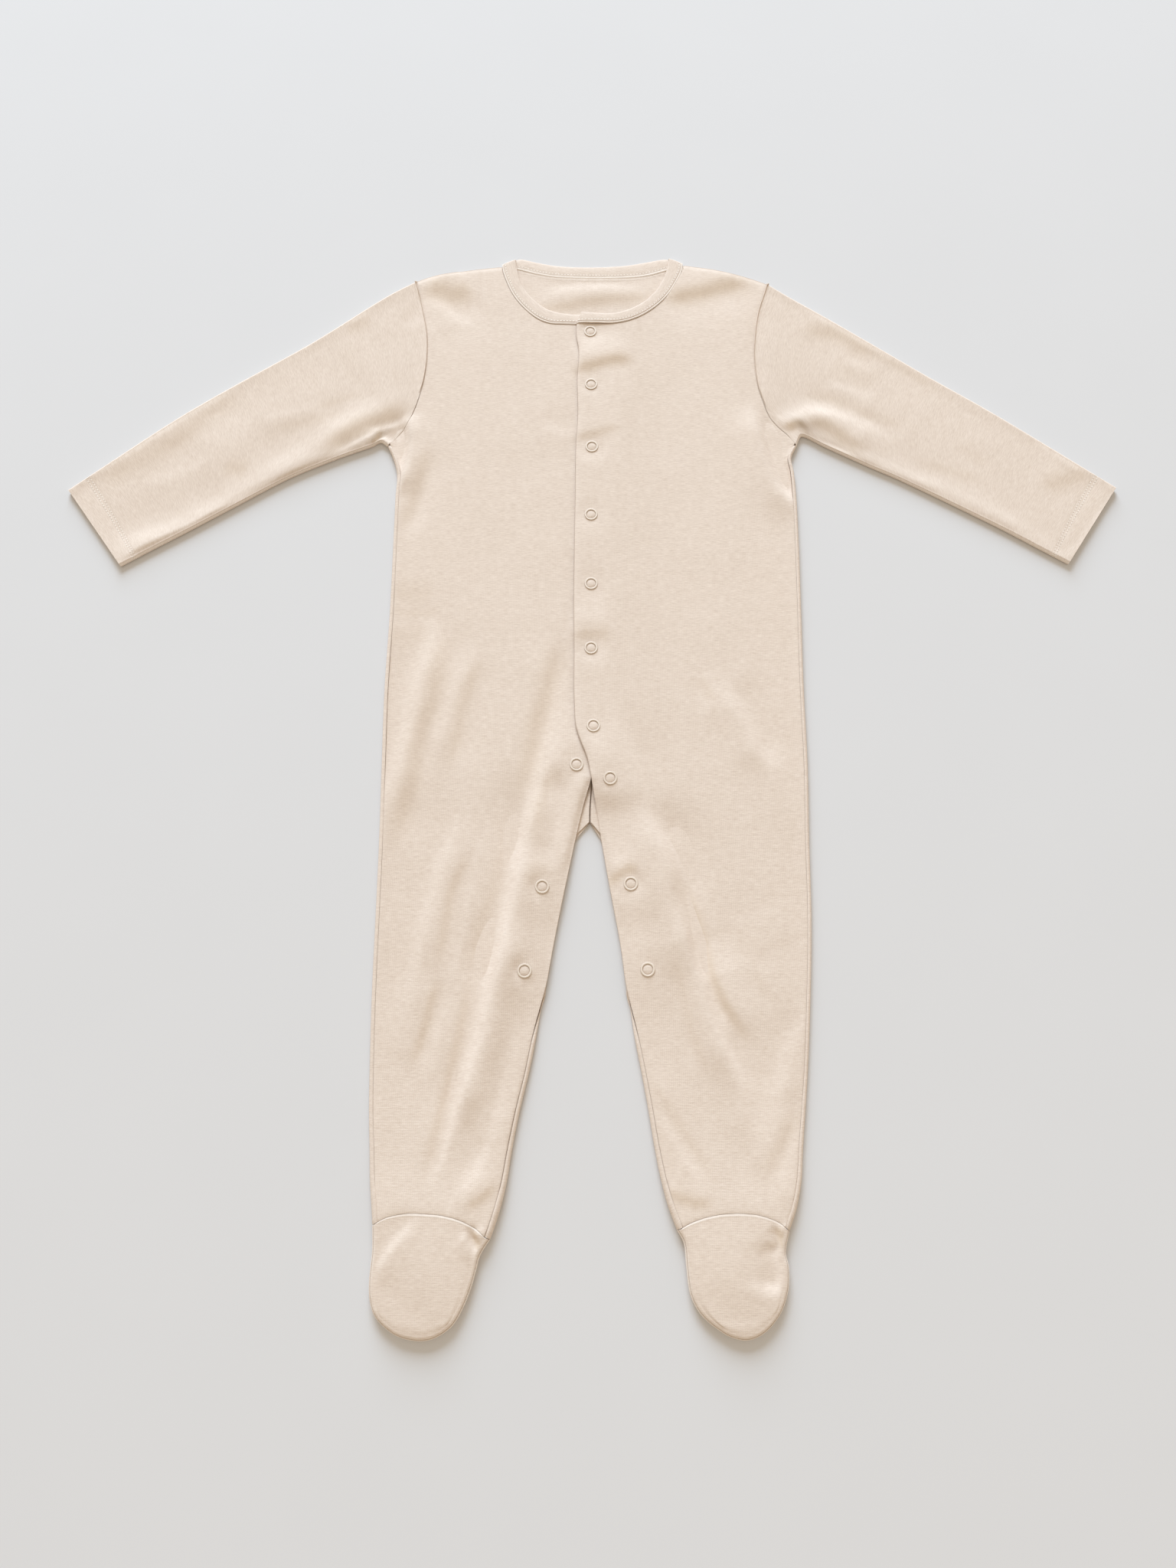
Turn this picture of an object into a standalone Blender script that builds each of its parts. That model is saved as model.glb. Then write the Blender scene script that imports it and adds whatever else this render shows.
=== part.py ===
"""Footed baby sleepsuit laid flat on a surface, in metres, +Z up, head towards +Y.

The garment is cut from one knitted cloth.  The back lies flat on the surface and rolls
up round the outer sides to a side seam.  Two fronts lie on it and overlap at a snapped
placket, the sleeves are flattened tubes, and each foot is an instep and a sole.
All tables are in millimetres.  "left" in a column name is the side at -X.
"""

import math

import bmesh
import bpy
import numpy as np
from mathutils import Vector
from mathutils.bvhtree import BVHTree

MM = 0.001

# Cloth and seams
CLOTH = 1.2              # wall of the knitted cloth
SEAM_GAP = 0.3           # between the edges of two pieces at a seam
HALF_GAP = SEAM_GAP / 2
LOW_FRONT = 3.0          # top face of a front where it lies on the back
SEAM_LAND = 0.8          # flat strip between the roll of a side edge and its seam
ROLL_STEPS = 4           # facets round a rolled edge

SLEEVE_EDGE = 3.8        # outside height of a sleeve's rolled edges
SLEEVE_TOP = 3.3         # and of its top face between folds
SHOULDER_CORNER = 0.9    # extra gap where the sleeve's edge crosses its seam at a slant

# Placket and snaps
PLACKET_LIFT = 2.6       # how far the lapping front stands above the other
PLACKET_RAMP = 14.0      # width over which it comes down again
PLACKET_DROOP = 0.7      # how far its edge bends down
SNAP_RADIUS = 4.75
SNAP_HOLE_RADIUS = 2.9
SNAP_HEIGHT = 1.1
SNAP_SHOULDER = 0.65     # share of its height where the ring starts to round over
SNAP_TAPER = 0.15
STUD_RADIUS = 3.8
STUD_HEIGHT = 0.8
SNAP_SAMPLES = 12        # places round a snap where the cloth's height is taken

# Neckband
BAND_WALL = 1.6          # two layers of cloth, folded at the free edge
BAND_TOP = 3.7           # top face of the band over the front neck
BAND_COLUMNS = 2

# Feet
FOOT_ROLL = 3.1          # radius of the rolled edge round a foot
SOLE_SEAM_ANGLE = 30.0   # degrees above the horizontal, seen along the edge
FOOT_STUB = 0.5          # last stretch of a foot's rolled edge, square to its seam
FOOT_HEIGHT = 11.0
HEEL_GAP = 0.35          # from the line of the heel seam to the sole
HEEL_REACH = 12.0        # length of leg that sets the direction across the heel seam

# Grid counts
SHOULDER_COLUMNS = 5     # of a front, along the shoulder
NECK_COLUMNS = 9         # of a front, along the neck seam
FRONT_COLUMNS = SHOULDER_COLUMNS + NECK_COLUMNS
BACK_COLUMNS = 4         # each half of the back, between its rolled edges
BACK_SHOULDER_COLUMNS = 3
CHEST_ROWS = 9
SLEEVE_ROWS = 15
FOOT_ROWS = 6
FOOT_COLUMNS = 7

CLOTH_COLOUR = (0.81, 0.69, 0.57, 1.0)
SNAP_COLOUR = (0.84, 0.74, 0.62, 1.0)

# Body outline.  Columns: y, left side, right side.
SIDE_TABLE = [
    (-334.0, -137.0, 121.6),
    (-318.0, -138.4, 127.4),
    (-306.0, -139.6, 130.0),
    (-283.0, -141.2, 132.6),
    (-260.0, -142.9, 135.4),
    (-236.0, -143.8, 138.2),
    (-188.0, -145.0, 142.6),
    (-137.0, -145.3, 146.0),
    (-85.0, -145.6, 147.4),
    (-30.0, -146.6, 149.3),
    (26.0, -147.5, 149.6),
    (86.0, -146.6, 150.9),
    (147.0, -146.8, 152.1),
    (179.0, -147.0, 152.2),
    (204.0, -148.0, 151.2),
    (222.0, -154.8, 156.0),
]

# Inner legs, from the ankle to where the fronts cross.  Columns: y, left leg, right leg.
INSEAM_TABLE = [
    (-340.0, -65.0, 54.6),
    (-331.0, -61.6, 51.6),
    (-317.0, -57.2, 46.4),
    (-306.0, -54.6, 43.4),
    (-283.0, -51.0, 38.8),
    (-260.0, -46.6, 35.2),
    (-236.0, -41.0, 31.0),
    (-212.0, -36.3, 26.4),
    (-188.0, -31.8, 22.5),
    (-152.0, -25.6, 17.8),
    (-125.0, -20.4, 12.9),
    (-111.0, -17.6, 10.4),
    (-82.0, -11.6, 5.6),
    (-56.0, -5.6, 1.6),
    (-41.0, -1.3, -0.9),
]

# Placket.  Columns: y, edge of the lapping front, hidden edge of the front beneath.
PLACKET_TABLE = [
    (-41.0, -0.9, -1.3),
    (-37.0, -1.6, -0.2),
    (-24.0, -4.4, 3.0),
    (-13.0, -8.6, 6.8),
    (-3.0, -11.6, 9.6),
    (14.0, -12.9, 10.8),
    (60.0, -13.3, 11.0),
    (94.0, -13.7, 11.0),
    (134.0, -13.4, 11.0),
    (174.0, -12.9, 11.0),
    (223.0, -12.4, 11.0),
    (249.0, -11.1, 11.0),
    (279.0, -11.6, 11.0),
    (308.0, -10.7, 11.0),
    (319.0, -12.4, 11.0),
    (330.0, -12.2, 11.0),
]

# Armholes, from the armpit to the shoulder.  Columns: left x, left y, right x, right y.
ARMHOLE_TABLE = [
    (-154.8, 222.0, 156.0, 222.0),
    (-147.2, 232.4, 148.2, 231.8),
    (-140.7, 241.8, 142.1, 238.8),
    (-136.5, 252.5, 135.0, 249.1),
    (-133.9, 260.9, 130.4, 263.3),
    (-130.0, 279.0, 126.9, 278.3),
    (-128.2, 300.0, 125.5, 301.0),
    (-129.0, 322.0, 127.2, 322.0),
    (-132.2, 340.0, 130.6, 342.0),
    (-136.4, 358.0, 135.6, 358.0),
    (-139.6, 371.0, 139.0, 368.6),
]

# Shoulders, from the armhole to the neck.  Columns: left x, left y, right x, right y.
SHOULDER_TABLE = [
    (-139.6, 371.0, 139.0, 368.6),
    (-129.8, 375.4, 127.0, 373.6),
    (-112.0, 379.2, 113.6, 377.6),
    (-93.5, 382.6, 94.0, 382.8),
    (-71.8, 385.4, 72.2, 386.6),
]

# Neckband over the fronts, from the centre to the fold at the shoulder point.
# Columns: left seam x, y, left free edge x, y, right seam x, y, right free edge x, y.
FRONT_BAND_TABLE = [
    (11.0, 330.4, 11.0, 339.6, -12.2, 330.4, -8.2, 340.4),
    (-6.0, 330.4, -6.0, 339.4, 3.9, 330.2, 4.6, 339.2),
    (-21.9, 330.8, -17.5, 340.0, 15.6, 329.9, 14.6, 339.0),
    (-34.0, 331.8, -28.5, 342.0, 27.0, 332.4, 22.6, 340.8),
    (-44.5, 337.0, -38.0, 346.3, 39.0, 338.4, 32.2, 345.2),
    (-55.0, 347.2, -47.2, 354.8, 51.3, 348.2, 42.6, 353.0),
    (-62.8, 358.6, -53.6, 363.4, 61.1, 359.7, 51.4, 363.6),
    (-67.6, 369.6, -57.6, 372.4, 68.4, 373.0, 57.4, 375.4),
    (-70.8, 379.2, -60.0, 383.2, 71.8, 381.6, 60.0, 385.0),
    (-71.8, 385.4, -61.0, 390.6, 72.2, 386.6, 61.2, 391.6),
]

# Neckband behind the neck, from the left shoulder point to the right one.
# Columns: seam x, y, free edge x, y.
BACK_BAND_TABLE = [
    (-71.8, 385.4, -61.0, 390.9),
    (-65.6, 385.0, -60.0, 392.2),
    (-57.5, 383.2, -55.5, 392.6),
    (-43.9, 379.1, -42.5, 389.3),
    (-26.4, 375.9, -25.5, 386.2),
    (0.0, 374.9, 0.0, 385.2),
    (26.0, 375.4, 25.0, 386.6),
    (43.0, 377.4, 42.0, 389.6),
    (56.9, 381.7, 55.2, 392.4),
    (65.6, 385.4, 60.0, 392.6),
    (72.2, 386.6, 61.2, 391.6),
]
FOLD_RISE = 2.0          # how far the band's fold stands above the shoulder point

# Sleeves, from the armhole to the cuff.
# Columns: left upper x, y, left lower x, y, right upper x, y, right lower x, y.
SLEEVE_TABLE = [
    (-139.6, 371.0, -154.8, 222.0, 139.0, 368.6, 156.0, 222.0),
    (-163.0, 356.5, -172.0, 219.5, 159.0, 354.0, 173.0, 219.4),
    (-187.4, 337.6, -194.8, 210.7, 183.1, 337.6, 208.6, 204.8),
    (-222.0, 311.4, -228.8, 194.4, 222.0, 310.0, 232.0, 193.0),
    (-261.0, 285.2, -267.3, 170.6, 261.8, 281.6, 270.0, 171.6),
    (-294.0, 262.6, -298.0, 151.4, 293.0, 260.2, 305.0, 151.2),
    (-325.9, 238.9, -326.6, 134.0, 322.3, 239.1, 330.0, 135.6),
    (-391.8, 185.0, -345.5, 122.2, 391.8, 187.0, 348.7, 124.1),
]

# Feet.  Outer ankle, round the toe, to the inner ankle.  Columns: left x, y, right x, y.
FOOT_TABLE = [
    (-136.9, -328.0, 121.4, -331.6),
    (-136.2, -342.7, 118.6, -343.6),
    (-137.2, -360.6, 120.0, -352.5),
    (-135.9, -372.2, 119.0, -365.2),
    (-131.5, -381.5, 113.9, -378.1),
    (-120.4, -390.0, 104.6, -388.3),
    (-108.2, -393.4, 94.3, -393.0),
    (-96.7, -392.4, 84.5, -392.0),
    (-85.8, -385.8, 75.5, -387.5),
    (-79.6, -376.4, 65.1, -379.0),
    (-74.8, -364.9, 58.9, -367.5),
    (-71.6, -353.6, 56.9, -351.5),
    (-69.4, -345.6, 55.8, -339.0),
    (-63.6, -336.4, 51.6, -331.0),
]
TOE_START = 4            # rows of FOOT_TABLE where the toe end begins and ends
TOE_END = 8

# Ankle seams, from the outer side to the inner one.  Columns as above.
ANKLE_TABLE = [
    (-136.9, -328.0, 121.4, -331.6),
    (-130.1, -324.4, 111.6, -325.0),
    (-118.4, -321.6, 101.4, -322.2),
    (-100.9, -321.8, 88.7, -321.4),
    (-86.6, -324.0, 75.4, -322.4),
    (-73.6, -329.6, 62.5, -326.0),
    (-63.6, -336.4, 51.6, -331.0),
]

# Height of the rolled outer edge and of the front between folds.  Columns: y, edge, front.
HEIGHT_TABLE = [
    (-395.0, 6.2, 6.2),
    (-336.0, 6.2, 6.2),
    (-318.0, 5.9, 6.0),
    (-290.0, 4.7, 4.6),
    (-250.0, 3.9, 3.7),
    (-190.0, 3.8, 3.3),
    (-60.0, 3.8, 3.1),
    (220.0, 3.8, 3.1),
    (300.0, 3.6, 3.2),
    (352.0, 3.4, 3.1),
    (380.0, 3.4, 2.8),
]

# Largest folds, as soft ridges.
# Columns: start x, y, end x, y, sideways bend, half width, height.
FOLD_TABLE = [
    (-18.0, 22.0, -100.0, -312.0, 14.0, 8.0, 3.4),
    (-116.0, 84.0, -136.0, -80.0, -3.0, 7.0, 1.2),
    (-94.0, 66.0, -109.0, -66.0, 2.0, 7.0, 0.9),
    (-88.0, -60.0, -124.0, -230.0, 3.0, 8.0, 1.3),
    (-52.0, -244.0, -78.0, -318.0, 3.0, 6.5, 1.8),
    (12.0, 4.0, 104.0, -300.0, -9.0, 8.0, 3.0),
    (88.0, 40.0, 138.0, -96.0, -6.0, 11.0, 1.0),
    (38.0, -230.0, 67.0, -312.0, 3.0, 7.0, 1.5),
    (134.0, -232.0, 106.0, -312.0, 4.0, 8.0, 1.6),
    (90.0, 214.0, 86.0, 30.0, -5.0, 14.0, 0.7),
    (-140.0, 262.0, -350.0, 143.0, -10.0, 9.0, 2.8),
    (-176.0, 284.0, -326.0, 190.0, 4.0, 10.0, 1.2),
    (136.0, 258.0, 340.0, 140.0, 14.0, 9.0, 2.8),
    (176.0, 292.0, 232.0, 238.0, 4.0, 9.0, 1.3),
    (-24.0, 318.0, -96.0, 338.0, -4.0, 16.0, 0.6),
]

# Insteps: centre and half axes of the raised pillow of each foot.
# Columns: centre x, y, half width, half length.
INSTEP_TABLE = [
    (-105.0, -357.0, 29.0, 33.0),
    (87.5, -356.0, 29.0, 33.0),
]

# Snaps.  Columns: x, y.  The first seven close the placket, the rest the inner legs.
SNAP_TABLE = [
    (-1.5, 321.0),
    (-0.9, 274.8),
    (-0.4, 219.2),
    (-1.0, 163.1),
    (-1.0, 107.1),
    (-1.1, 56.8),
    (0.5, -2.1),
    (-11.2, -30.1),
    (12.0, -40.6),
    (-34.1, -116.0),
    (25.5, -113.9),
    (-45.0, -172.1),
    (36.0, -171.1),
]
CENTRE_SNAPS = 7
SNAP_BUMP = 1.2          # rise of a front over the snaps of the inner legs
SNAP_BUMP_RADIUS = 16.0

# Rows of the body pieces between the ankle and the armpit
BODY_ROWS = [
    -300.0, -278.0, -255.0, -232.0, -212.0, -203.0, -194.0, -180.0, -160.0, -138.0, -116.0,
    -98.0, -83.0, -71.0, -56.0, -41.0, -31.0, -22.0, -12.0, 4.0, 30.0, 62.0, 96.0, 132.0,
    168.0, 192.0, 208.0, 222.0,
]
SEWN_FRONT_TOP = -190.0    # from here down the front's inner edge is sewn
CURL_TOP = -180.0          # from here down the back's inner edge curls up towards it
CURL_RUN = 23.0            # and over this length it reaches its full roll
CROTCH_Y = -71.0
CROTCH_X = -2.0
ARMPIT_Y = 222.0
CROSSING_Y = -41.0


def column(table, index):
    """One column of a table as an array."""
    return np.array([row[index] for row in table], dtype=float)


def track(table, position, index):
    """Value of a column at a position of the first column, on a smooth curve."""
    xs = column(table, 0)
    ys = column(table, index)
    slopes = np.gradient(ys, xs)
    position = min(max(position, xs[0]), xs[-1])
    k = int(min(np.searchsorted(xs, position, side="right") - 1, len(xs) - 2))
    span = xs[k + 1] - xs[k]
    t = (position - xs[k]) / span
    a = (1 + 2 * t) * (1 - t) ** 2
    b = t * (1 - t) ** 2
    c = t * t * (3 - 2 * t)
    d = t * t * (t - 1)
    return a * ys[k] + b * span * slopes[k] + c * ys[k + 1] + d * span * slopes[k + 1]


def ease(t):
    """Smooth step from 0 to 1."""
    t = min(max(t, 0.0), 1.0)
    return t * t * (3 - 2 * t)


def pairs(table, first):
    """Two neighbouring columns of a table as a list of points."""
    return [np.array([row[first], row[first + 1]], dtype=float) for row in table]


def stations(points, count):
    """count + 1 points evenly spaced along a smooth curve through the points."""
    dense = []
    last = len(points) - 1
    for k in range(last):
        before = points[max(k - 1, 0)]
        start = points[k]
        end = points[k + 1]
        after = points[min(k + 2, last)]
        for step in range(12):
            t = step / 12
            dense.append(
                0.5 * (2 * start + (end - before) * t
                       + (2 * before - 5 * start + 4 * end - after) * t ** 2
                       + (3 * start - before - 3 * end + after) * t ** 3))
    dense.append(points[-1])
    dense = np.array(dense)
    run = np.concatenate(([0.0], np.cumsum(np.linalg.norm(np.diff(dense, axis=0), axis=1))))
    wanted = np.linspace(0.0, run[-1], count + 1)
    return np.column_stack((np.interp(wanted, run, dense[:, 0]), np.interp(wanted, run, dense[:, 1])))


def at(polyline, t):
    """Point of a polyline at a fraction of its stations."""
    place = t * (len(polyline) - 1)
    k = min(int(place), len(polyline) - 2)
    return polyline[k] + (polyline[k + 1] - polyline[k]) * (place - k)


def shifted(polyline, distance):
    """A polyline moved sideways, to the left of its direction."""
    direction = np.gradient(polyline, axis=0)
    direction /= np.linalg.norm(direction, axis=1)[:, None]
    normal = np.column_stack((-direction[:, 1], direction[:, 0]))
    return polyline + normal * distance


def patch(bottom, top, left, right, columns, rows):
    """Points of a four-sided patch between its edges, as an array [row][column]."""
    grid = np.zeros((rows + 1, columns + 1, 2))
    for j in range(rows + 1):
        v = j / rows
        for i in range(columns + 1):
            u = i / columns
            across = (1 - v) * at(bottom, u) + v * at(top, u)
            along = (1 - u) * at(left, v) + u * at(right, v)
            corners = ((1 - u) * (1 - v) * bottom[0] + u * (1 - v) * bottom[-1]
                       + (1 - u) * v * top[0] + u * v * top[-1])
            grid[j, i] = across + along - corners
    return grid


def side(sign, y):
    """Outline of the body at a height of the garment; sign is -1 for the left."""
    return track(SIDE_TABLE, y, 1 if sign < 0 else 2)


def inseam(sign, y):
    """Inner outline of a leg."""
    return track(INSEAM_TABLE, y, 1 if sign < 0 else 2)


def edge_height(y):
    """Outside height of the rolled side edge."""
    return track(HEIGHT_TABLE, y, 1)


def seam_inset(y):
    """Distance from the outline in to the back's edge at a side seam."""
    return edge_height(y) / 2 + SEAM_LAND


def inner_inset(y):
    """The same for the front's edge along the inner leg, nothing where it is snapped."""
    return seam_inset(y) + SEAM_GAP if y < SEWN_FRONT_TOP else 0.0


def fold_height(x, y):
    """Sum of the large folds at a point."""
    total = 0.0
    for x0, y0, x1, y1, bend, width, height in FOLD_TABLE:
        length = math.hypot(x1 - x0, y1 - y0)
        along = ((x - x0) * (x1 - x0) + (y - y0) * (y1 - y0)) / length ** 2
        if not 0.0 < along < 1.0:
            continue
        aside = ((x - x0) * (y1 - y0) - (y - y0) * (x1 - x0)) / length
        aside -= bend * 4 * along * (1 - along)
        taper = ease(along / 0.25) * ease((1 - along) / 0.25)
        total += height * taper * math.exp(-(aside / width) ** 2)
    return total


def pillow_height(x, y):
    """Rise of the instep over the rest of the foot."""
    total = 0.0
    for centre_x, centre_y, half_width, half_length in INSTEP_TABLE:
        radius = math.hypot((x - centre_x) / half_width, (y - centre_y) / half_length)
        total += (FOOT_HEIGHT - edge_height(y)) * ease((1.15 - radius) / 0.9)
    return total


def edge_distance(x, y):
    """Distance in from the outer side of the body."""
    return min(x - side(-1, y), side(1, y) - x)


def snap_rise(x, y):
    """Rise of the fronts over the snaps of the inner legs."""
    total = 0.0
    for snap_x, snap_y in SNAP_TABLE[CENTRE_SNAPS:]:
        total += SNAP_BUMP * math.exp(-(math.hypot(x - snap_x, y - snap_y) / SNAP_BUMP_RADIUS) ** 2)
    return total


def front_height(x, y):
    """Top face of the fronts and insteps at a point."""
    base = track(HEIGHT_TABLE, y, 2)
    edge = max(edge_distance(x, y), 0.0)
    rise = (edge_height(y) - base) * math.exp(-(edge / 6.0) ** 2)
    clear = ease((edge - seam_inset(y)) / 12.0) if y < ARMPIT_Y else 1.0
    if y < CROSSING_Y:
        sign = -1 if x < CROTCH_X else 1
        inner = abs(x - inseam(sign, y))
        low = edge_height(y) if inner_inset(y) else LOW_FRONT - 0.1
        rise += (low - base) * math.exp(-(inner / 6.0) ** 2)
        clear *= ease(inner / 12.0)
    return base + rise + fold_height(x, y) * clear + snap_rise(x, y) + pillow_height(x, y)


def placket_lift(x, y):
    """Extra height of the lapping front where it lies on the other."""
    hidden = track(PLACKET_TABLE, y, 2)
    across = 1.0 - ease((x - hidden) / PLACKET_RAMP)
    crossing = ease((y - CROSSING_Y + 26.0) / 26.0)
    droop = PLACKET_DROOP * math.exp(-(x - track(PLACKET_TABLE, y, 1)) / 3.0)
    return (PLACKET_LIFT - droop) * across * crossing


def sleeve_height(x, y, rim):
    """Top face of a sleeve; rim is the distance from its nearer edge."""
    return SLEEVE_TOP + (SLEEVE_EDGE - SLEEVE_TOP) * math.exp(-(rim / 6.0) ** 2) \
        + fold_height(x, y) * ease((rim - SLEEVE_EDGE / 2) / 10.0)


def material(name, colour, roughness):
    """A plain shader for one finish."""
    made = bpy.data.materials.new(name)
    made.use_nodes = True
    shader = made.node_tree.nodes["Principled BSDF"]
    shader.inputs["Base Color"].default_value = colour
    shader.inputs["Roughness"].default_value = roughness
    shader.inputs["Metallic"].default_value = 0.0
    return made


def add_object(name, mesh_data, collection, finish):
    """Put a bmesh, in millimetres, into the scene as a named object in metres."""
    bmesh.ops.scale(mesh_data, vec=(MM, MM, MM), verts=mesh_data.verts)
    mesh = bpy.data.meshes.new(name)
    mesh_data.to_mesh(mesh)
    mesh_data.free()
    mesh.materials.append(finish)
    mesh.shade_smooth()
    made = bpy.data.objects.new(name, mesh)
    collection.objects.link(made)
    return made


def sheet_mesh(points):
    """An open quad sheet from an array [row][column] of points in space."""
    rows, columns = points.shape[0] - 1, points.shape[1] - 1
    sheet = bmesh.new()
    bmesh.ops.create_grid(sheet, x_segments=columns, y_segments=rows, size=1.0)
    sheet.verts.ensure_lookup_table()
    for vertex, place in zip(sheet.verts, points.reshape(-1, 3)):
        vertex.co = Vector(place)
    return sheet


def face_out(sheet, direction):
    """Turn all faces so that the sheet as a whole looks in a direction."""
    bmesh.ops.recalc_face_normals(sheet, faces=sheet.faces)
    total = Vector((0.0, 0.0, 0.0))
    for face in sheet.faces:
        total += face.normal * face.calc_area()
    if total.dot(Vector(direction)) < 0:
        bmesh.ops.reverse_faces(sheet, faces=sheet.faces)


def give_wall(made, thickness=CLOTH):
    """Give an open sheet its wall, inward from the modelled face."""
    wall = made.modifiers.new("wall", "SOLIDIFY")
    wall.thickness = thickness * MM
    wall.offset = -1.0
    wall.use_even_offset = True
    return made


def merge_flat(sheet):
    """Make the middle of the flat underside one face, since it needs no grid."""
    level = {v for v in sheet.verts if not v.is_boundary
             and all(abs(corner.co.z) < 0.001 for face in v.link_faces for corner in face.verts)}
    inside = [edge for edge in sheet.edges if len(edge.link_faces) == 2
              and all(v in level for face in edge.link_faces for v in face.verts)]
    bmesh.ops.dissolve_edges(sheet, edges=inside, use_verts=False)


def joined(sheets):
    """One bmesh from several, welded where they share points."""
    whole = bmesh.new()
    for sheet in sheets:
        part = bpy.data.meshes.new("part")
        sheet.to_mesh(part)
        sheet.free()
        whole.from_mesh(part)
        bpy.data.meshes.remove(part)
    bmesh.ops.remove_doubles(whole, verts=whole.verts, dist=0.01)
    return whole


def roll_profile(height, curl=1.0):
    """Section of a rolled edge from the floor round to the seam: (in from outline, z).

    A curl of 0 leaves the strip flat on the floor, out to the outline.
    """
    radius = height / 2
    steps = [(radius, 0.0)]
    for k in range(1, ROLL_STEPS + 1):
        angle = -math.pi / 2 + math.pi * k / ROLL_STEPS
        steps.append((radius - radius * math.cos(angle), radius + radius * math.sin(angle)))
    steps.append((radius + SEAM_LAND, height))
    last = len(steps) - 1
    return [(curl * inward + (1 - curl) * radius * (1 - k / last), curl * z)
            for k, (inward, z) in enumerate(steps)]


def armhole(sign):
    """Armhole seam line, armpit to shoulder."""
    return stations(pairs(ARMHOLE_TABLE, 0 if sign < 0 else 2), CHEST_ROWS)


def heel_end(sign, inner):
    """One end of the heel seam: place on the outline, and the directions inward and up it."""
    first = 0 if sign < 0 else 2
    place = pairs(ANKLE_TABLE, first)[-1 if inner else 0]
    below = pairs(FOOT_TABLE, first)[-2 if inner else 1]
    high = place[1] + HEEL_REACH
    above = np.array([inseam(sign, high) if inner else side(sign, high), high])
    up = (above - below) / np.linalg.norm(above - below)
    inward = np.array([up[1], -up[0]])
    return place, inward * (1 if inner == (sign > 0) else -1), up


def ankle(sign):
    """Ankle seam line, outer side to inner side, between the rolled edges."""
    line = stations(pairs(ANKLE_TABLE, 0 if sign < 0 else 2), FOOT_COLUMNS)
    for inner, end in ((False, 0), (True, -1)):
        place, inward, up = heel_end(sign, inner)
        line[end] = place + inward * (seam_inset(place[1]) + SEAM_GAP)
    return line


def neck_seam(sign):
    """Neck seam line of one front, from the shoulder to the centre."""
    return stations(pairs(FRONT_BAND_TABLE, 0 if sign < 0 else 4)[::-1], NECK_COLUMNS)


def back_neck_columns():
    """Columns of the back along its neck seam."""
    return 2 * (BACK_COLUMNS + ROLL_STEPS + 1 - BACK_SHOULDER_COLUMNS)


def front_plan(sign):
    """Plan of one front as points [row][column], from the outer side to the inner edge."""
    edge_column = 1 if sign > 0 else 2
    rows = []
    for y in BODY_ROWS:
        outer = side(sign, y) - sign * (seam_inset(y) + SEAM_GAP)
        if y < CROSSING_Y:
            inner = inseam(sign, y) + sign * inner_inset(y)
        else:
            inner = track(PLACKET_TABLE, y, edge_column)
        rows.append([(outer + (inner - outer) * i / FRONT_COLUMNS, y) for i in range(FRONT_COLUMNS + 1)])
    body = np.array(rows)
    line = shifted(ankle(sign), -sign * HALF_GAP)
    seam = np.array([at(line, i / FRONT_COLUMNS) for i in range(FRONT_COLUMNS + 1)])
    shoulder = stations(pairs(SHOULDER_TABLE, 0 if sign < 0 else 2), SHOULDER_COLUMNS)
    neck = shifted(neck_seam(sign), sign * HALF_GAP)
    top = np.vstack((shoulder[:-1], neck))
    left = shifted(armhole(sign), sign * HALF_GAP)
    left[0] = body[-1, 0]
    top[0] = left[-1]
    right = np.array([body[-1, -1] + (top[-1] - body[-1, -1]) * k / CHEST_ROWS
                      for k in range(CHEST_ROWS + 1)])
    for k in range(1, CHEST_ROWS):
        right[k, 0] = track(PLACKET_TABLE, right[k, 1], edge_column)
    chest = patch(body[-1], top, left, right, FRONT_COLUMNS, CHEST_ROWS)
    return np.concatenate((seam[None], body, chest[1:]))


def make_front(name, sign, collection, finish):
    """One front with its leg, from the ankle seam to the shoulder and neck."""
    plan = front_plan(sign)
    points = np.zeros(plan.shape[:2] + (3,))
    for j, row in enumerate(plan):
        for i, (x, y) in enumerate(row):
            z = front_height(x, y)
            if sign > 0:
                z += placket_lift(x, y)
            points[j, i] = (x, y, z)
    sheet = sheet_mesh(points)
    face_out(sheet, (0, 0, 1))
    return give_wall(add_object(name, sheet, collection, finish))


def back_leg(sign):
    """One back leg: a flat sheet rolled up at the outer side and where the inseam is sewn."""
    rows = [(heel_end(sign, False), heel_end(sign, True))]
    for y in [y for y in BODY_ROWS if y <= CROTCH_Y]:
        inner_x = CROTCH_X if y == CROTCH_Y else inseam(sign, y)
        up = np.array([0.0, 1.0])
        rows.append(((np.array([side(sign, y), y]), np.array([-sign, 0.0]), up),
                     (np.array([inner_x, y]), np.array([sign, 0.0]), up)))
    points = []
    for number, ends in enumerate(rows):
        curl = min(max((CURL_TOP - ends[1][0][1]) / CURL_RUN, 0.0), 1.0) ** 2
        strips = []
        for (place, inward, up), turned in zip(ends, (1.0, curl)):
            start = place + up * (HALF_GAP if number == 0 else 0.0)
            strips.append([(*(start + inward * depth), z)
                           for depth, z in roll_profile(edge_height(place[1]), turned)])
        first, last = np.array(strips[0][0]), np.array(strips[1][0])
        middle = [tuple(first + (last - first) * i / BACK_COLUMNS) for i in range(1, BACK_COLUMNS)]
        points.append(strips[0][::-1] + middle + strips[1])
    return np.array(points)


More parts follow.
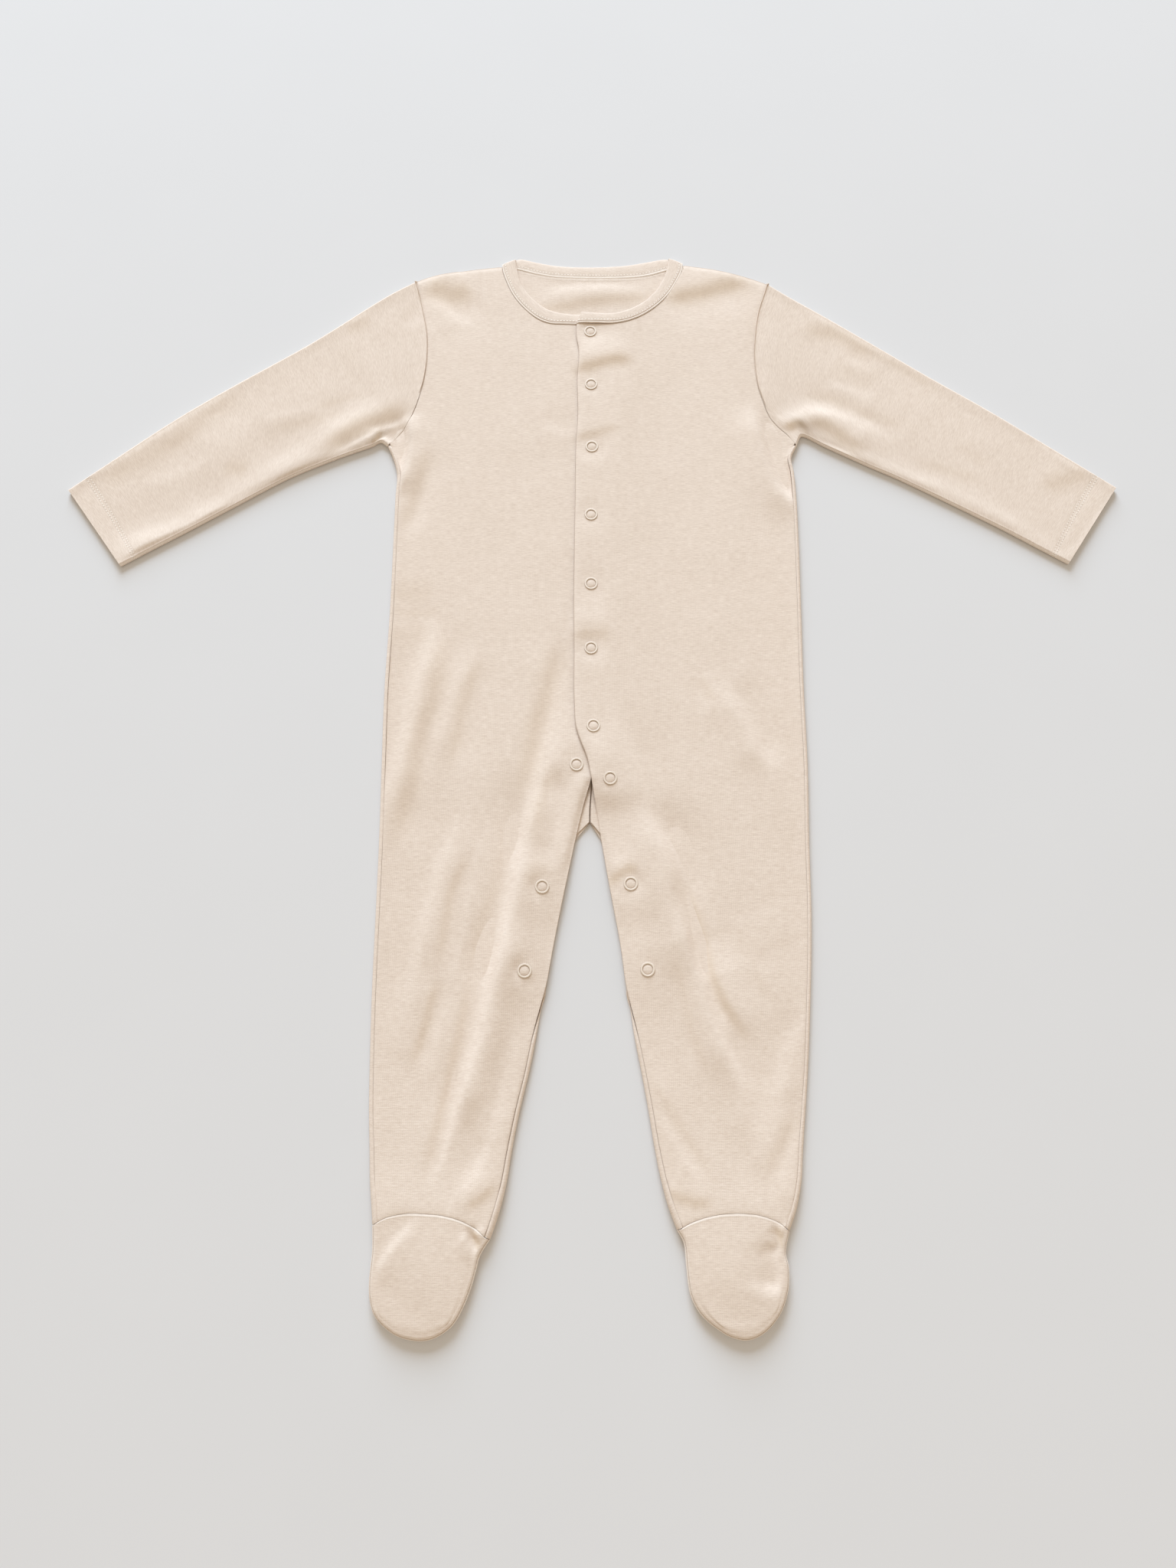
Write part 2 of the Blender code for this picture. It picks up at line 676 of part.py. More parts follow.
def make_back(name, collection, finish):
    """The back with both legs, flat below, rolled up to the side seams."""
    legs = {sign: back_leg(sign) for sign in (-1, 1)}
    strip = ROLL_STEPS + 1
    crotch = np.vstack((legs[-1][-1], legs[1][-1][::-1][1:]))
    torso = [crotch]
    shares = (crotch[strip:-strip, 0] - crotch[strip, 0]) / (crotch[-strip - 1, 0] - crotch[strip, 0])
    for y in [y for y in BODY_ROWS if y > CROTCH_Y]:
        roll = roll_profile(edge_height(y))
        left = [(side(-1, y) + inward, y, z) for inward, z in roll[::-1]]
        right = [(side(1, y) - inward, y, z) for inward, z in roll]
        start, end = left[-1][0], right[0][0]
        middle = [(start + (end - start) * share, y, 0.0) for share in shares[1:-1]]
        torso.append(np.array(left + middle + right))
    torso = np.array(torso)
    flat = torso[-1, strip:-strip, :2]
    count = BACK_SHOULDER_COLUMNS
    shoulders = [stations(pairs(SHOULDER_TABLE, first), count) for first in (0, 2)]
    neck = shifted(stations(pairs(BACK_BAND_TABLE, 0), back_neck_columns()), -HALF_GAP)
    top = np.vstack((shoulders[0][:-1], neck, shoulders[1][::-1][1:]))
    left = shifted(armhole(-1), -HALF_GAP)
    right = shifted(armhole(1), HALF_GAP)
    left[0], right[0] = flat[0], flat[-1]
    top[0], top[-1] = left[-1], right[-1]
    chest = patch(flat, top, left, right, len(flat) - 1, CHEST_ROWS)
    chest = np.concatenate((chest, np.zeros(chest.shape[:2] + (1,))), axis=2)
    whole = joined([sheet_mesh(legs[-1]), sheet_mesh(legs[1]), sheet_mesh(torso), sheet_mesh(chest)])
    face_out(whole, (0, 0, -1))
    merge_flat(whole)
    return give_wall(add_object(name, whole, collection, finish))


def make_sleeve(name, sign, collection, finish):
    """A flattened sleeve tube, from the armhole seam to the turned cuff."""
    first = 0 if sign < 0 else 4
    upper = stations(pairs(SLEEVE_TABLE, first), SLEEVE_ROWS)
    lower = stations(pairs(SLEEVE_TABLE, first + 2), SLEEVE_ROWS)
    seam = shifted(armhole(sign), -sign * HALF_GAP)[::-1]
    start = upper[1] - upper[0]
    seam[0] += start / np.linalg.norm(start) * SHOULDER_CORNER
    upper[0] = seam[0]
    lower[0] = seam[-1]
    cuff = np.array([upper[-1], lower[-1]])
    radius = SLEEVE_EDGE / 2
    rings = []
    for k in range(SLEEVE_ROWS + 1):
        width = np.linalg.norm(upper[k] - lower[k])
        turn = radius / width
        shares = [turn] + [j / CHEST_ROWS for j in range(1, CHEST_ROWS)] + [1 - turn]
        flat = [sleeve_place(upper, lower, seam, cuff, k / SLEEVE_ROWS, t) for t in shares]
        above = [(x, y, sleeve_height(x, y, min(t, 1 - t) * width)) for (x, y), t in zip(flat, shares)]
        below = [(x, y, 0.0) for x, y in flat]
        angles = [math.pi / 2 - math.pi * step / ROLL_STEPS for step in range(1, ROLL_STEPS)]
        edges = {}
        for end in (0, 1):
            edges[end] = []
            for angle in angles:
                t = abs(end - turn * (1 - math.cos(angle)))
                x, y = sleeve_place(upper, lower, seam, cuff, k / SLEEVE_ROWS, t)
                edges[end].append((x, y, radius + radius * math.sin(angle)))
        rings.append(above + edges[1] + below[::-1] + edges[0][::-1] + above[:1])
    tube = sheet_mesh(np.array(rings))
    bmesh.ops.remove_doubles(tube, verts=tube.verts, dist=0.001)
    bmesh.ops.recalc_face_normals(tube, faces=tube.faces)
    if max(tube.faces, key=lambda face: face.calc_center_median().z).normal.z < 0:
        bmesh.ops.reverse_faces(tube, faces=tube.faces)
    merge_flat(tube)
    return give_wall(add_object(name, tube, collection, finish))


def sleeve_place(upper, lower, seam, cuff, along, across):
    """Plan of a sleeve at a fraction along it and across it from the upper edge."""
    between = (1 - along) * at(seam, across) + along * at(cuff, across)
    sides = (1 - across) * at(upper, along) + across * at(lower, along)
    corners = ((1 - across) * ((1 - along) * upper[0] + along * upper[-1])
               + across * ((1 - along) * lower[0] + along * lower[-1]))
    return between + sides - corners


def foot_edges(sign):
    """Outline of a foot, outer side, toe end and inner side, and its outward directions."""
    outline = pairs(FOOT_TABLE, 0 if sign < 0 else 2)
    parts = []
    counts = (FOOT_ROWS, FOOT_COLUMNS, FOOT_ROWS)
    bounds = (0, TOE_START, TOE_END, len(outline) - 1)
    dense = stations(outline, 120)
    for k, count in enumerate(counts):
        start = int(np.argmin(np.linalg.norm(dense - outline[bounds[k]], axis=1)))
        end = int(np.argmin(np.linalg.norm(dense - outline[bounds[k + 1]], axis=1)))
        picks = np.linspace(start, end, count + 1)
        parts.append(np.column_stack([np.interp(picks, np.arange(121), dense[:, c]) for c in (0, 1)]))
    line = np.vstack((parts[0], parts[1][1:], parts[2][1:]))
    outward = shifted(line, sign) - line
    for inner, end in ((False, 0), (True, -1)):
        place, inward, up = heel_end(sign, inner)
        outward[end] = -inward
        line[end] = place - up * HEEL_GAP
    return line, outward


def foot_section(angles):
    """Section of a foot's rolled edge: (in from the outline, z), ending square to the seam."""
    steps = [(FOOT_ROLL * (1 - math.cos(math.radians(a))), FOOT_ROLL * (1 + math.sin(math.radians(a))))
             for a in angles]
    turn = math.radians(angles[-1])
    side_step = math.copysign(FOOT_STUB, angles[-1] - angles[0])
    stub = (steps[-1][0] - side_step * math.sin(turn), steps[-1][1] - side_step * math.cos(turn))
    return steps[:-1] + [stub, steps[-1]]


def foot_sheet(sign, top, floor):
    """An instep (floor False) or a sole (floor True) as an open sheet."""
    line, outward = foot_edges(sign)
    inset = line - outward * FOOT_ROLL
    left = inset[:FOOT_ROWS + 1][::-1].copy()
    toe = inset[FOOT_ROWS:FOOT_ROWS + FOOT_COLUMNS + 1]
    right = inset[FOOT_ROWS + FOOT_COLUMNS:].copy()
    left[-1] = top[0]
    right[-1] = top[-1]
    plan = patch(toe, top, left, right, FOOT_COLUMNS, FOOT_ROWS)
    points = np.zeros(plan.shape[:2] + (3,))
    for j, row in enumerate(plan):
        for i, (x, y) in enumerate(row):
            rim = j == 0 or i in (0, FOOT_COLUMNS)
            high = 2 * FOOT_ROLL if rim else front_height(x, y)
            points[j, i] = (x, y, 0.0 if floor else high)
    rim = np.vstack((points[::-1, 0], points[0, 1:], points[1:, -1]))
    seam_turn = math.degrees(SEAM_GAP / (FOOT_ROLL - CLOTH / 2))
    if floor:
        section = foot_section([-90.0, -60.0, -30.0, 0.0, SOLE_SEAM_ANGLE])
    else:
        section = foot_section([90.0, 72.0, 54.0, SOLE_SEAM_ANGLE + seam_turn])
    strip = [rim]
    for inward, z in section[1:]:
        place = line - outward * inward
        strip.append(np.column_stack((place, np.full(len(place), z))))
    whole = joined([sheet_mesh(points), sheet_mesh(np.array(strip))])
    face_out(whole, (0, 0, -1) if floor else (0, 0, 1))
    return whole


def make_instep(name, sign, collection, finish):
    """Upper of a foot, from the curved ankle seam to the sole seam."""
    sheet = foot_sheet(sign, shifted(ankle(sign), sign * HALF_GAP), False)
    return give_wall(add_object(name, sheet, collection, finish))


def make_sole(name, sign, collection, finish):
    """Sole of a foot, from the heel seam to the toe, flat below."""
    line, outward = foot_edges(sign)
    start, end = line[[0, -1]] - outward[[0, -1]] * FOOT_ROLL
    heel = np.array([start + (end - start) * i / FOOT_COLUMNS for i in range(FOOT_COLUMNS + 1)])
    sheet = foot_sheet(sign, heel, True)
    merge_flat(sheet)
    return give_wall(add_object(name, sheet, collection, finish))


def band_height(x, y, sign):
    """Top face of the neckband over a front."""
    return BAND_TOP + (placket_lift(x, y) if sign > 0 else 0.0)


def band_front(sign):
    """Stations of the neckband over one front, from the centre to the shoulder."""
    first = 0 if sign < 0 else 4
    seam = shifted(neck_seam(sign)[::-1], sign * HALF_GAP)
    free = stations(pairs(FRONT_BAND_TABLE, first + 2), NECK_COLUMNS)
    return [(np.append(s, band_height(*s, sign)), np.append(f, band_height(*f, sign)))
            for s, f in zip(seam, free)]


def band_fold(start):
    """Stations of the fold at a shoulder point, from the top layer round to the floor."""
    seam, free = start
    radius = BAND_TOP / 2
    turned = []
    for step in range(ROLL_STEPS + 1):
        angle = math.pi / 2 - math.pi * step / ROLL_STEPS
        rise = FOLD_RISE - radius + radius * math.cos(angle)
        z = radius + radius * math.sin(angle)
        turned.append((np.array([seam[0], seam[1] + rise, z]), np.array([free[0], free[1] + rise, z])))
    return turned


def make_neckband(name, collection, finish):
    """One folded strip from the hidden front edge, round behind the neck, to the lapping one."""
    left = band_front(-1)
    right = band_front(1)
    seam = shifted(stations(pairs(BACK_BAND_TABLE, 0), back_neck_columns()), HALF_GAP)
    free = stations(pairs(BACK_BAND_TABLE, 2), back_neck_columns())
    back = [(np.append(s, 0.0), np.append(f, 0.0)) for s, f in zip(seam, free)]
    route = left + band_fold(left[-1]) + back[1:-1] + band_fold(right[-1])[::-1] + right[::-1]
    points = np.array([[s + (f - s) * i / BAND_COLUMNS for i in range(BAND_COLUMNS + 1)] for s, f in route])
    sheet = sheet_mesh(points)
    sheet.faces.ensure_lookup_table()
    bmesh.ops.recalc_face_normals(sheet, faces=sheet.faces)
    if sheet.faces[0].normal.z < 0:
        bmesh.ops.reverse_faces(sheet, faces=sheet.faces)
    return give_wall(add_object(name, sheet, collection, finish), BAND_WALL)


def heights(made):
    """Search tree of an object's finished surface, in millimetres."""
    graph = bpy.context.evaluated_depsgraph_get()
    mesh = made.evaluated_get(graph).to_mesh()
    points = [vertex.co / MM for vertex in mesh.vertices]
    faces = [tuple(face.vertices) for face in mesh.polygons]
    return BVHTree.FromPolygons(points, faces)


def spot(x, y):
    """Points under a snap."""
    places = [(x, y)]
    for radius in (SNAP_HOLE_RADIUS, SNAP_RADIUS):
        for k in range(SNAP_SAMPLES):
            angle = 2 * math.pi * k / SNAP_SAMPLES
            places.append((x + radius * math.cos(angle), y + radius * math.sin(angle)))
    return places


def surface(tree, places, upwards):
    """Heights of a surface at some places, seen from above or from below."""
    found = []
    for x, y in places:
        start = Vector((x, y, -5.0 if upwards else 50.0))
        hit = tree.ray_cast(start, Vector((0, 0, 1 if upwards else -1)))
        if hit[0] is not None:
            found.append((x, y, hit[0].z))
    return np.array(found)


def seat(points):
    """Plane just clear above some surface points: height at a place, and its tilt."""
    centre = points.mean(axis=0)
    slopes = np.linalg.lstsq(points[:, :2] - centre[:2], points[:, 2] - centre[2], rcond=None)[0]
    over = (points[:, 2] - centre[2] - (points[:, :2] - centre[:2]) @ slopes).max()
    return centre, slopes, over + SEAM_GAP


def ring_mesh():
    """Prong ring of a snap, turned about Z on its flat face."""
    crown = (SNAP_RADIUS + SNAP_HOLE_RADIUS) / 2
    shoulder = SNAP_SHOULDER * SNAP_HEIGHT
    profile = [
        (SNAP_HOLE_RADIUS, 0.0),
        (SNAP_RADIUS, 0.0),
        (SNAP_RADIUS - SNAP_TAPER, shoulder),
        (crown, SNAP_HEIGHT),
        (SNAP_HOLE_RADIUS + SNAP_TAPER, shoulder),
    ]
    ring = bmesh.new()
    corners = [ring.verts.new((radius, 0.0, z)) for radius, z in profile]
    edges = [ring.edges.new((corners[k], corners[(k + 1) % len(corners)])) for k in range(len(corners))]
    bmesh.ops.spin(ring, geom=corners + edges, cent=(0, 0, 0), axis=(0, 0, 1), angle=2 * math.pi,
                   steps=16, use_merge=True)
    bmesh.ops.remove_doubles(ring, verts=ring.verts, dist=0.001)
    bmesh.ops.recalc_face_normals(ring, faces=ring.faces)
    return ring


def make_snaps(fronts, back, collection, finish):
    """Ring snaps on the lapping front and the inner legs, with the half between the layers."""
    trees = {sign: heights(made) for sign, made in fronts.items()}
    back_tree = heights(back)
    for number, (x, y) in enumerate(SNAP_TABLE, 1):
        sign = 1 if number <= CENTRE_SNAPS or x > 0 else -1
        places = spot(x, y)
        centre, slopes, over = seat(surface(trees[sign], places, False))
        normal = Vector((-slopes[0], -slopes[1], 1.0)).normalized()
        ring = add_object("snap_%02d" % number, ring_mesh(), collection, finish)
        level = centre[2] + slopes @ (np.array([x, y]) - centre[:2]) + over
        ring.location = Vector((x, y, level)) * MM
        ring.rotation_mode = "QUATERNION"
        ring.rotation_quaternion = Vector((0, 0, 1)).rotation_difference(normal)
        lower_tree = trees[-1] if number <= CENTRE_SNAPS else back_tree
        floor = surface(lower_tree, places, False)[:, 2].max() + SEAM_GAP
        ceiling = surface(trees[sign], places, True)[:, 2].min() - SEAM_GAP
        height = min(STUD_HEIGHT, ceiling - floor)
        stud = bmesh.new()
        bmesh.ops.create_cone(stud, cap_ends=True, segments=12, radius1=STUD_RADIUS, radius2=STUD_RADIUS,
                              depth=height)
        half = add_object("stud_%02d" % number, stud, collection, finish)
        half.location = Vector((x, y, (floor + ceiling) / 2)) * MM


def main():
    for old in list(bpy.data.objects):
        bpy.data.objects.remove(old, do_unlink=True)
    collection = bpy.data.collections.new("baby_sleepsuit")
    bpy.context.scene.collection.children.link(collection)
    cloth = material("cloth", CLOTH_COLOUR, 0.9)
    snaps = material("snap", SNAP_COLOUR, 0.45)
    back = make_back("back", collection, cloth)
    fronts = {-1: make_front("front_right", -1, collection, cloth),
              1: make_front("front_left", 1, collection, cloth)}
    make_sleeve("sleeve_right", -1, collection, cloth)
    make_sleeve("sleeve_left", 1, collection, cloth)
    make_instep("instep_right", -1, collection, cloth)
    make_instep("instep_left", 1, collection, cloth)
    make_sole("sole_right", -1, collection, cloth)
    make_sole("sole_left", 1, collection, cloth)
    make_neckband("neckband", collection, cloth)
    make_snaps(fronts, back, collection, snaps)


main()
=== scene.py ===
import math
from functools import partial

import bmesh
import bpy
import numpy as np
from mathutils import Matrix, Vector, noise


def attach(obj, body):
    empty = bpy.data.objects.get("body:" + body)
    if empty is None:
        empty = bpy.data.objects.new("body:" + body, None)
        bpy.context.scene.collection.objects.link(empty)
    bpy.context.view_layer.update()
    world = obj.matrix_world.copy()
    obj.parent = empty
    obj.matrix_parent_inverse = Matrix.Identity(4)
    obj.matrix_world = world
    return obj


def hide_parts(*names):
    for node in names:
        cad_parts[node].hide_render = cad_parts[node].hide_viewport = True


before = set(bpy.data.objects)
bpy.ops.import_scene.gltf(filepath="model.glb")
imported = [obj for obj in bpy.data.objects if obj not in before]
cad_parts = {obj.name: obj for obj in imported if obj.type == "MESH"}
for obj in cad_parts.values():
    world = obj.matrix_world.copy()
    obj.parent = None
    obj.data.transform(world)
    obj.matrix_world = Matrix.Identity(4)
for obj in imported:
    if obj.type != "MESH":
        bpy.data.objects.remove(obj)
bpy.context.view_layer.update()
print("frame loaded:", len(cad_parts), "nodes")

# All shapes are worked out in millimetres and scaled to metres when a mesh is made.
mm = 0.001
lightFrom = (-0.148, 0.989)    # the soft light's side, seen from above

# Outlines that several pieces share. In each row the left side is the one at -X.
outline = {
    # y, left side, right side
    "side": [
        (-334.0, -137.0, 121.6), (-318.0, -138.4, 127.4), (-306.0, -139.6, 130.0),
        (-283.0, -141.2, 132.6), (-260.0, -142.9, 135.4), (-236.0, -143.8, 138.2),
        (-188.0, -145.0, 142.6), (-137.0, -145.3, 146.0), (-85.0, -145.6, 147.4),
        (-30.0, -146.6, 149.3), (26.0, -147.5, 149.6), (86.0, -146.6, 150.9),
        (147.0, -146.8, 152.1), (179.0, -147.0, 152.2), (202.0, -147.3, 151.3),
        (212.0, -150.4, 150.1), (222.0, -154.8, 154.6)],
    # y, left leg, right leg
    "inseam": [
        (-340.0, -65.0, 54.6), (-331.0, -61.6, 51.6), (-317.0, -57.2, 46.4),
        (-306.0, -54.6, 43.4), (-283.0, -51.0, 38.8), (-260.0, -46.6, 35.2),
        (-236.0, -41.0, 31.0), (-212.0, -36.3, 26.4), (-188.0, -31.8, 22.5),
        (-152.0, -25.6, 17.8), (-125.0, -20.4, 12.9), (-111.0, -17.6, 10.4),
        (-82.0, -11.6, 5.6), (-56.0, -5.6, 1.6), (-41.0, -1.3, -0.9)],
    # y, edge of the lapping front, hidden edge of the front beneath
    "placket": [
        (-41.0, -0.9, -1.3), (-37.0, -1.6, -0.2), (-24.0, -4.4, 3.0), (-13.0, -8.6, 6.8),
        (-3.0, -11.6, 9.6), (14.0, -12.9, 10.8), (60.0, -13.3, 11.0), (94.0, -13.7, 11.0),
        (134.0, -13.4, 11.0), (174.0, -12.9, 11.0), (223.0, -12.4, 11.0),
        (249.0, -11.1, 11.0), (279.0, -11.6, 11.0), (308.0, -10.7, 11.0),
        (319.0, -12.4, 11.0), (330.0, -12.2, 11.0)],
    # armpit to shoulder: left x, y, right x, y
    "armhole": [
        (-154.8, 222.0, 154.6, 222.0), (-147.2, 232.4, 148.2, 231.8),
        (-140.7, 241.8, 142.1, 238.8), (-136.5, 252.5, 135.0, 249.1),
        (-133.9, 260.9, 130.4, 263.3), (-130.0, 279.0, 126.9, 278.3),
        (-128.2, 300.0, 125.5, 301.0), (-129.0, 322.0, 127.2, 322.0),
        (-132.2, 340.0, 130.6, 342.0), (-136.4, 358.0, 135.6, 358.0),
        (-139.6, 371.0, 139.0, 368.6)],
    # armhole to neck: left x, y, right x, y
    "shoulder": [
        (-139.6, 371.0, 139.0, 368.6), (-129.8, 375.4, 127.0, 373.6),
        (-112.0, 379.2, 113.6, 377.6), (-93.5, 382.6, 94.0, 382.8),
        (-71.8, 385.4, 72.2, 386.6)],
    # centre to shoulder: left seam x, y, left free edge x, y, then the same on the right
    "frontBand": [
        (11.0, 330.4, 11.0, 339.6, -12.2, 330.4, -8.2, 340.4),
        (-6.0, 330.4, -6.0, 339.4, 3.9, 330.2, 4.6, 339.2),
        (-21.9, 330.8, -17.5, 340.0, 15.6, 329.9, 14.6, 339.0),
        (-34.0, 331.8, -28.5, 342.0, 27.0, 332.4, 22.6, 340.8),
        (-44.5, 337.0, -38.0, 346.3, 39.0, 338.4, 32.2, 345.2),
        (-55.0, 347.2, -47.2, 354.8, 51.3, 348.2, 42.6, 353.0),
        (-62.8, 358.6, -53.6, 363.4, 61.1, 359.7, 51.4, 363.6),
        (-67.6, 369.6, -57.6, 372.4, 68.4, 373.0, 57.4, 375.4),
        (-70.8, 379.2, -60.0, 383.2, 71.8, 381.6, 60.0, 385.0),
        (-71.8, 385.4, -61.0, 390.6, 72.2, 386.6, 61.2, 391.6)],
    # behind the neck, left to right: seam x, y, free edge x, y
    "backBand": [
        (-71.8, 385.4, -61.0, 390.9), (-65.6, 385.0, -60.0, 392.2),
        (-57.5, 383.2, -55.5, 392.6), (-43.9, 379.1, -42.5, 389.3),
        (-26.4, 375.9, -25.5, 386.2), (0.0, 374.9, 0.0, 385.2),
        (26.0, 375.4, 25.0, 386.6), (43.0, 377.4, 42.0, 389.6),
        (56.9, 381.7, 55.2, 392.4), (65.6, 385.4, 60.0, 392.6),
        (72.2, 386.6, 61.2, 391.6)],
    # shoulder to cuff: left x, y, right x, y
    "overarm": [
        (-139.6, 371.0, 139.0, 368.6), (-163.0, 356.5, 159.0, 354.0), (-187.4, 337.6, 183.1, 337.6),
        (-222.0, 311.4, 222.0, 310.0), (-261.0, 285.2, 261.8, 281.6), (-294.0, 262.6, 293.0, 260.2),
        (-325.9, 238.9, 322.3, 239.1), (-391.8, 185.0, 391.8, 187.0)],
    # armpit, a nick where the sleeve folds under, then to the cuff
    "underarm": [
        (-154.8, 222.0, 154.6, 222.0), (-158.0, 224.2, 156.2, 226.4), (-160.8, 226.0, 158.8, 231.0),
        (-164.4, 223.7, 163.6, 229.6), (-168.2, 221.6, 170.0, 225.8), (-176.0, 218.5, 177.6, 221.2),
        (-194.8, 210.7, 208.6, 204.8), (-228.8, 194.4, 232.0, 193.0), (-267.3, 170.6, 270.0, 171.6),
        (-298.0, 151.4, 305.0, 151.2), (-326.6, 134.0, 330.0, 135.6), (-345.5, 122.2, 348.7, 124.1)],
    # outer ankle, round the toe, to the inner ankle: left x, y, right x, y
    "foot": [
        (-136.9, -328.0, 121.4, -331.6), (-136.2, -342.7, 118.6, -343.6),
        (-137.2, -360.6, 120.0, -352.5), (-135.9, -372.2, 119.0, -365.2),
        (-131.5, -381.5, 113.9, -378.1), (-120.4, -390.0, 104.6, -388.3),
        (-108.2, -393.4, 94.3, -393.0), (-96.7, -392.4, 84.5, -392.0),
        (-85.8, -385.8, 75.5, -387.5), (-79.6, -376.4, 65.1, -379.0),
        (-74.8, -364.9, 58.9, -367.5), (-71.6, -353.6, 56.9, -351.5),
        (-69.4, -345.6, 55.8, -339.0), (-63.6, -336.4, 51.6, -331.0)],
    # outer to inner side: left x, y, right x, y
    "ankle": [
        (-136.9, -328.0, 121.4, -331.6), (-130.1, -324.4, 111.6, -325.0),
        (-118.4, -321.6, 101.4, -322.2), (-100.9, -321.8, 88.7, -321.4),
        (-86.6, -324.0, 75.4, -322.4), (-73.6, -329.6, 62.5, -326.0),
        (-63.6, -336.4, 51.6, -331.0)],
    # y, height of the rolled outer edge, height of the front between folds
    "height": [
        (-395.0, 6.2, 6.2), (-336.0, 6.2, 6.2), (-318.0, 5.9, 6.0), (-290.0, 4.7, 4.6),
        (-250.0, 3.9, 3.7), (-190.0, 3.8, 3.3), (-60.0, 3.8, 3.1), (220.0, 3.8, 3.1),
        (300.0, 3.6, 3.2), (352.0, 3.4, 3.1), (380.0, 3.4, 2.8)],
}

cloth = {
    "wall": 1.1,             # knitted cloth
    "seamGap": 0.12,         # between the edges of two pieces
    "edgeRound": 0.18,       # rounding of a cut or turned edge
    "seamLand": 0.8,         # flat strip between a rolled edge and its seam
    "seamDip": 0.16,         # how far the cloth draws in at a seam
    "seamReach": 0.85,
    "edgeReach": 6.0,        # how far in an edge's height is felt
    "foldClear": 12.0,       # folds and creases fade out over these before an edge
    "creaseClear": 5.0,
}

snapPlan = {
    # x, y, how far it draws the cloth in
    "places": [
        (-1.5, 323.0, 0.80), (-0.9, 274.8, 0.25), (-0.4, 220.6, 0.70), (-1.0, 163.1, 0.50),
        (-1.0, 107.1, 0.30), (-1.1, 56.8, 0.95), (0.5, -2.1, 0.30), (-11.2, -30.1, 0.70),
        (12.0, -40.6, 0.65), (-34.1, -116.0, 0.75), (25.5, -113.9, 0.60), (-45.0, -172.1, 0.75),
        (36.0, -171.1, 0.35)],
    "centre": 7,             # the first seven close the placket
    "rise": 1.35,            # rise of the fronts round the leg snaps
    "riseReach": 20.0,
    "drawReach": 7.5,
    "seat": 4.0,             # the cloth is level inside this radius
    "seatReach": 3.5,
}

legPlan = {
    "ankleTop": -300.0,      # rows run straight across above here
    "crossing": -41.0,       # where the fronts cross above the legs
    "crotchX": -2.0,
    "crotchY": -71.0,
    "curlTop": -175.0,       # from here down the back's inner edge curls up and is sewn
    "curlRun": 48.0,
    "openEdge": 2.9,         # height of the fronts' inner edges where the legs are open
    "armpit": 222.0,
}

# Broad low folds: start x, y, end x, y, sideways bend, half width, height
folds = [
    (-14.0, 40.0, -92.0, -300.0, -3.0, 15.0, 1.8),
    (-116.0, 84.0, -136.0, -80.0, -3.0, 9.0, 0.6),
    (-94.0, 66.0, -109.0, -66.0, 2.0, 9.0, 0.5),
    (-88.0, -60.0, -124.0, -230.0, 3.0, 10.0, 0.7),
    (10.0, 10.0, 92.0, -262.0, 0.0, 15.0, 1.6),
    (88.0, 40.0, 138.0, -96.0, -6.0, 14.0, 0.7),
    (38.0, -230.0, 67.0, -312.0, 3.0, 9.0, 0.6),
    (134.0, -232.0, 106.0, -312.0, 4.0, 9.0, 0.7),
    (90.0, 214.0, 86.0, 30.0, -5.0, 18.0, 0.5),
    (-140.0, 262.0, -350.0, 143.0, -10.0, 16.0, 0.8),
    (-176.0, 284.0, -326.0, 190.0, 4.0, 14.0, 0.5),
    (136.0, 258.0, 340.0, 140.0, 14.0, 16.0, 0.8),
    (176.0, 292.0, 232.0, 238.0, 4.0, 14.0, 0.5),
]

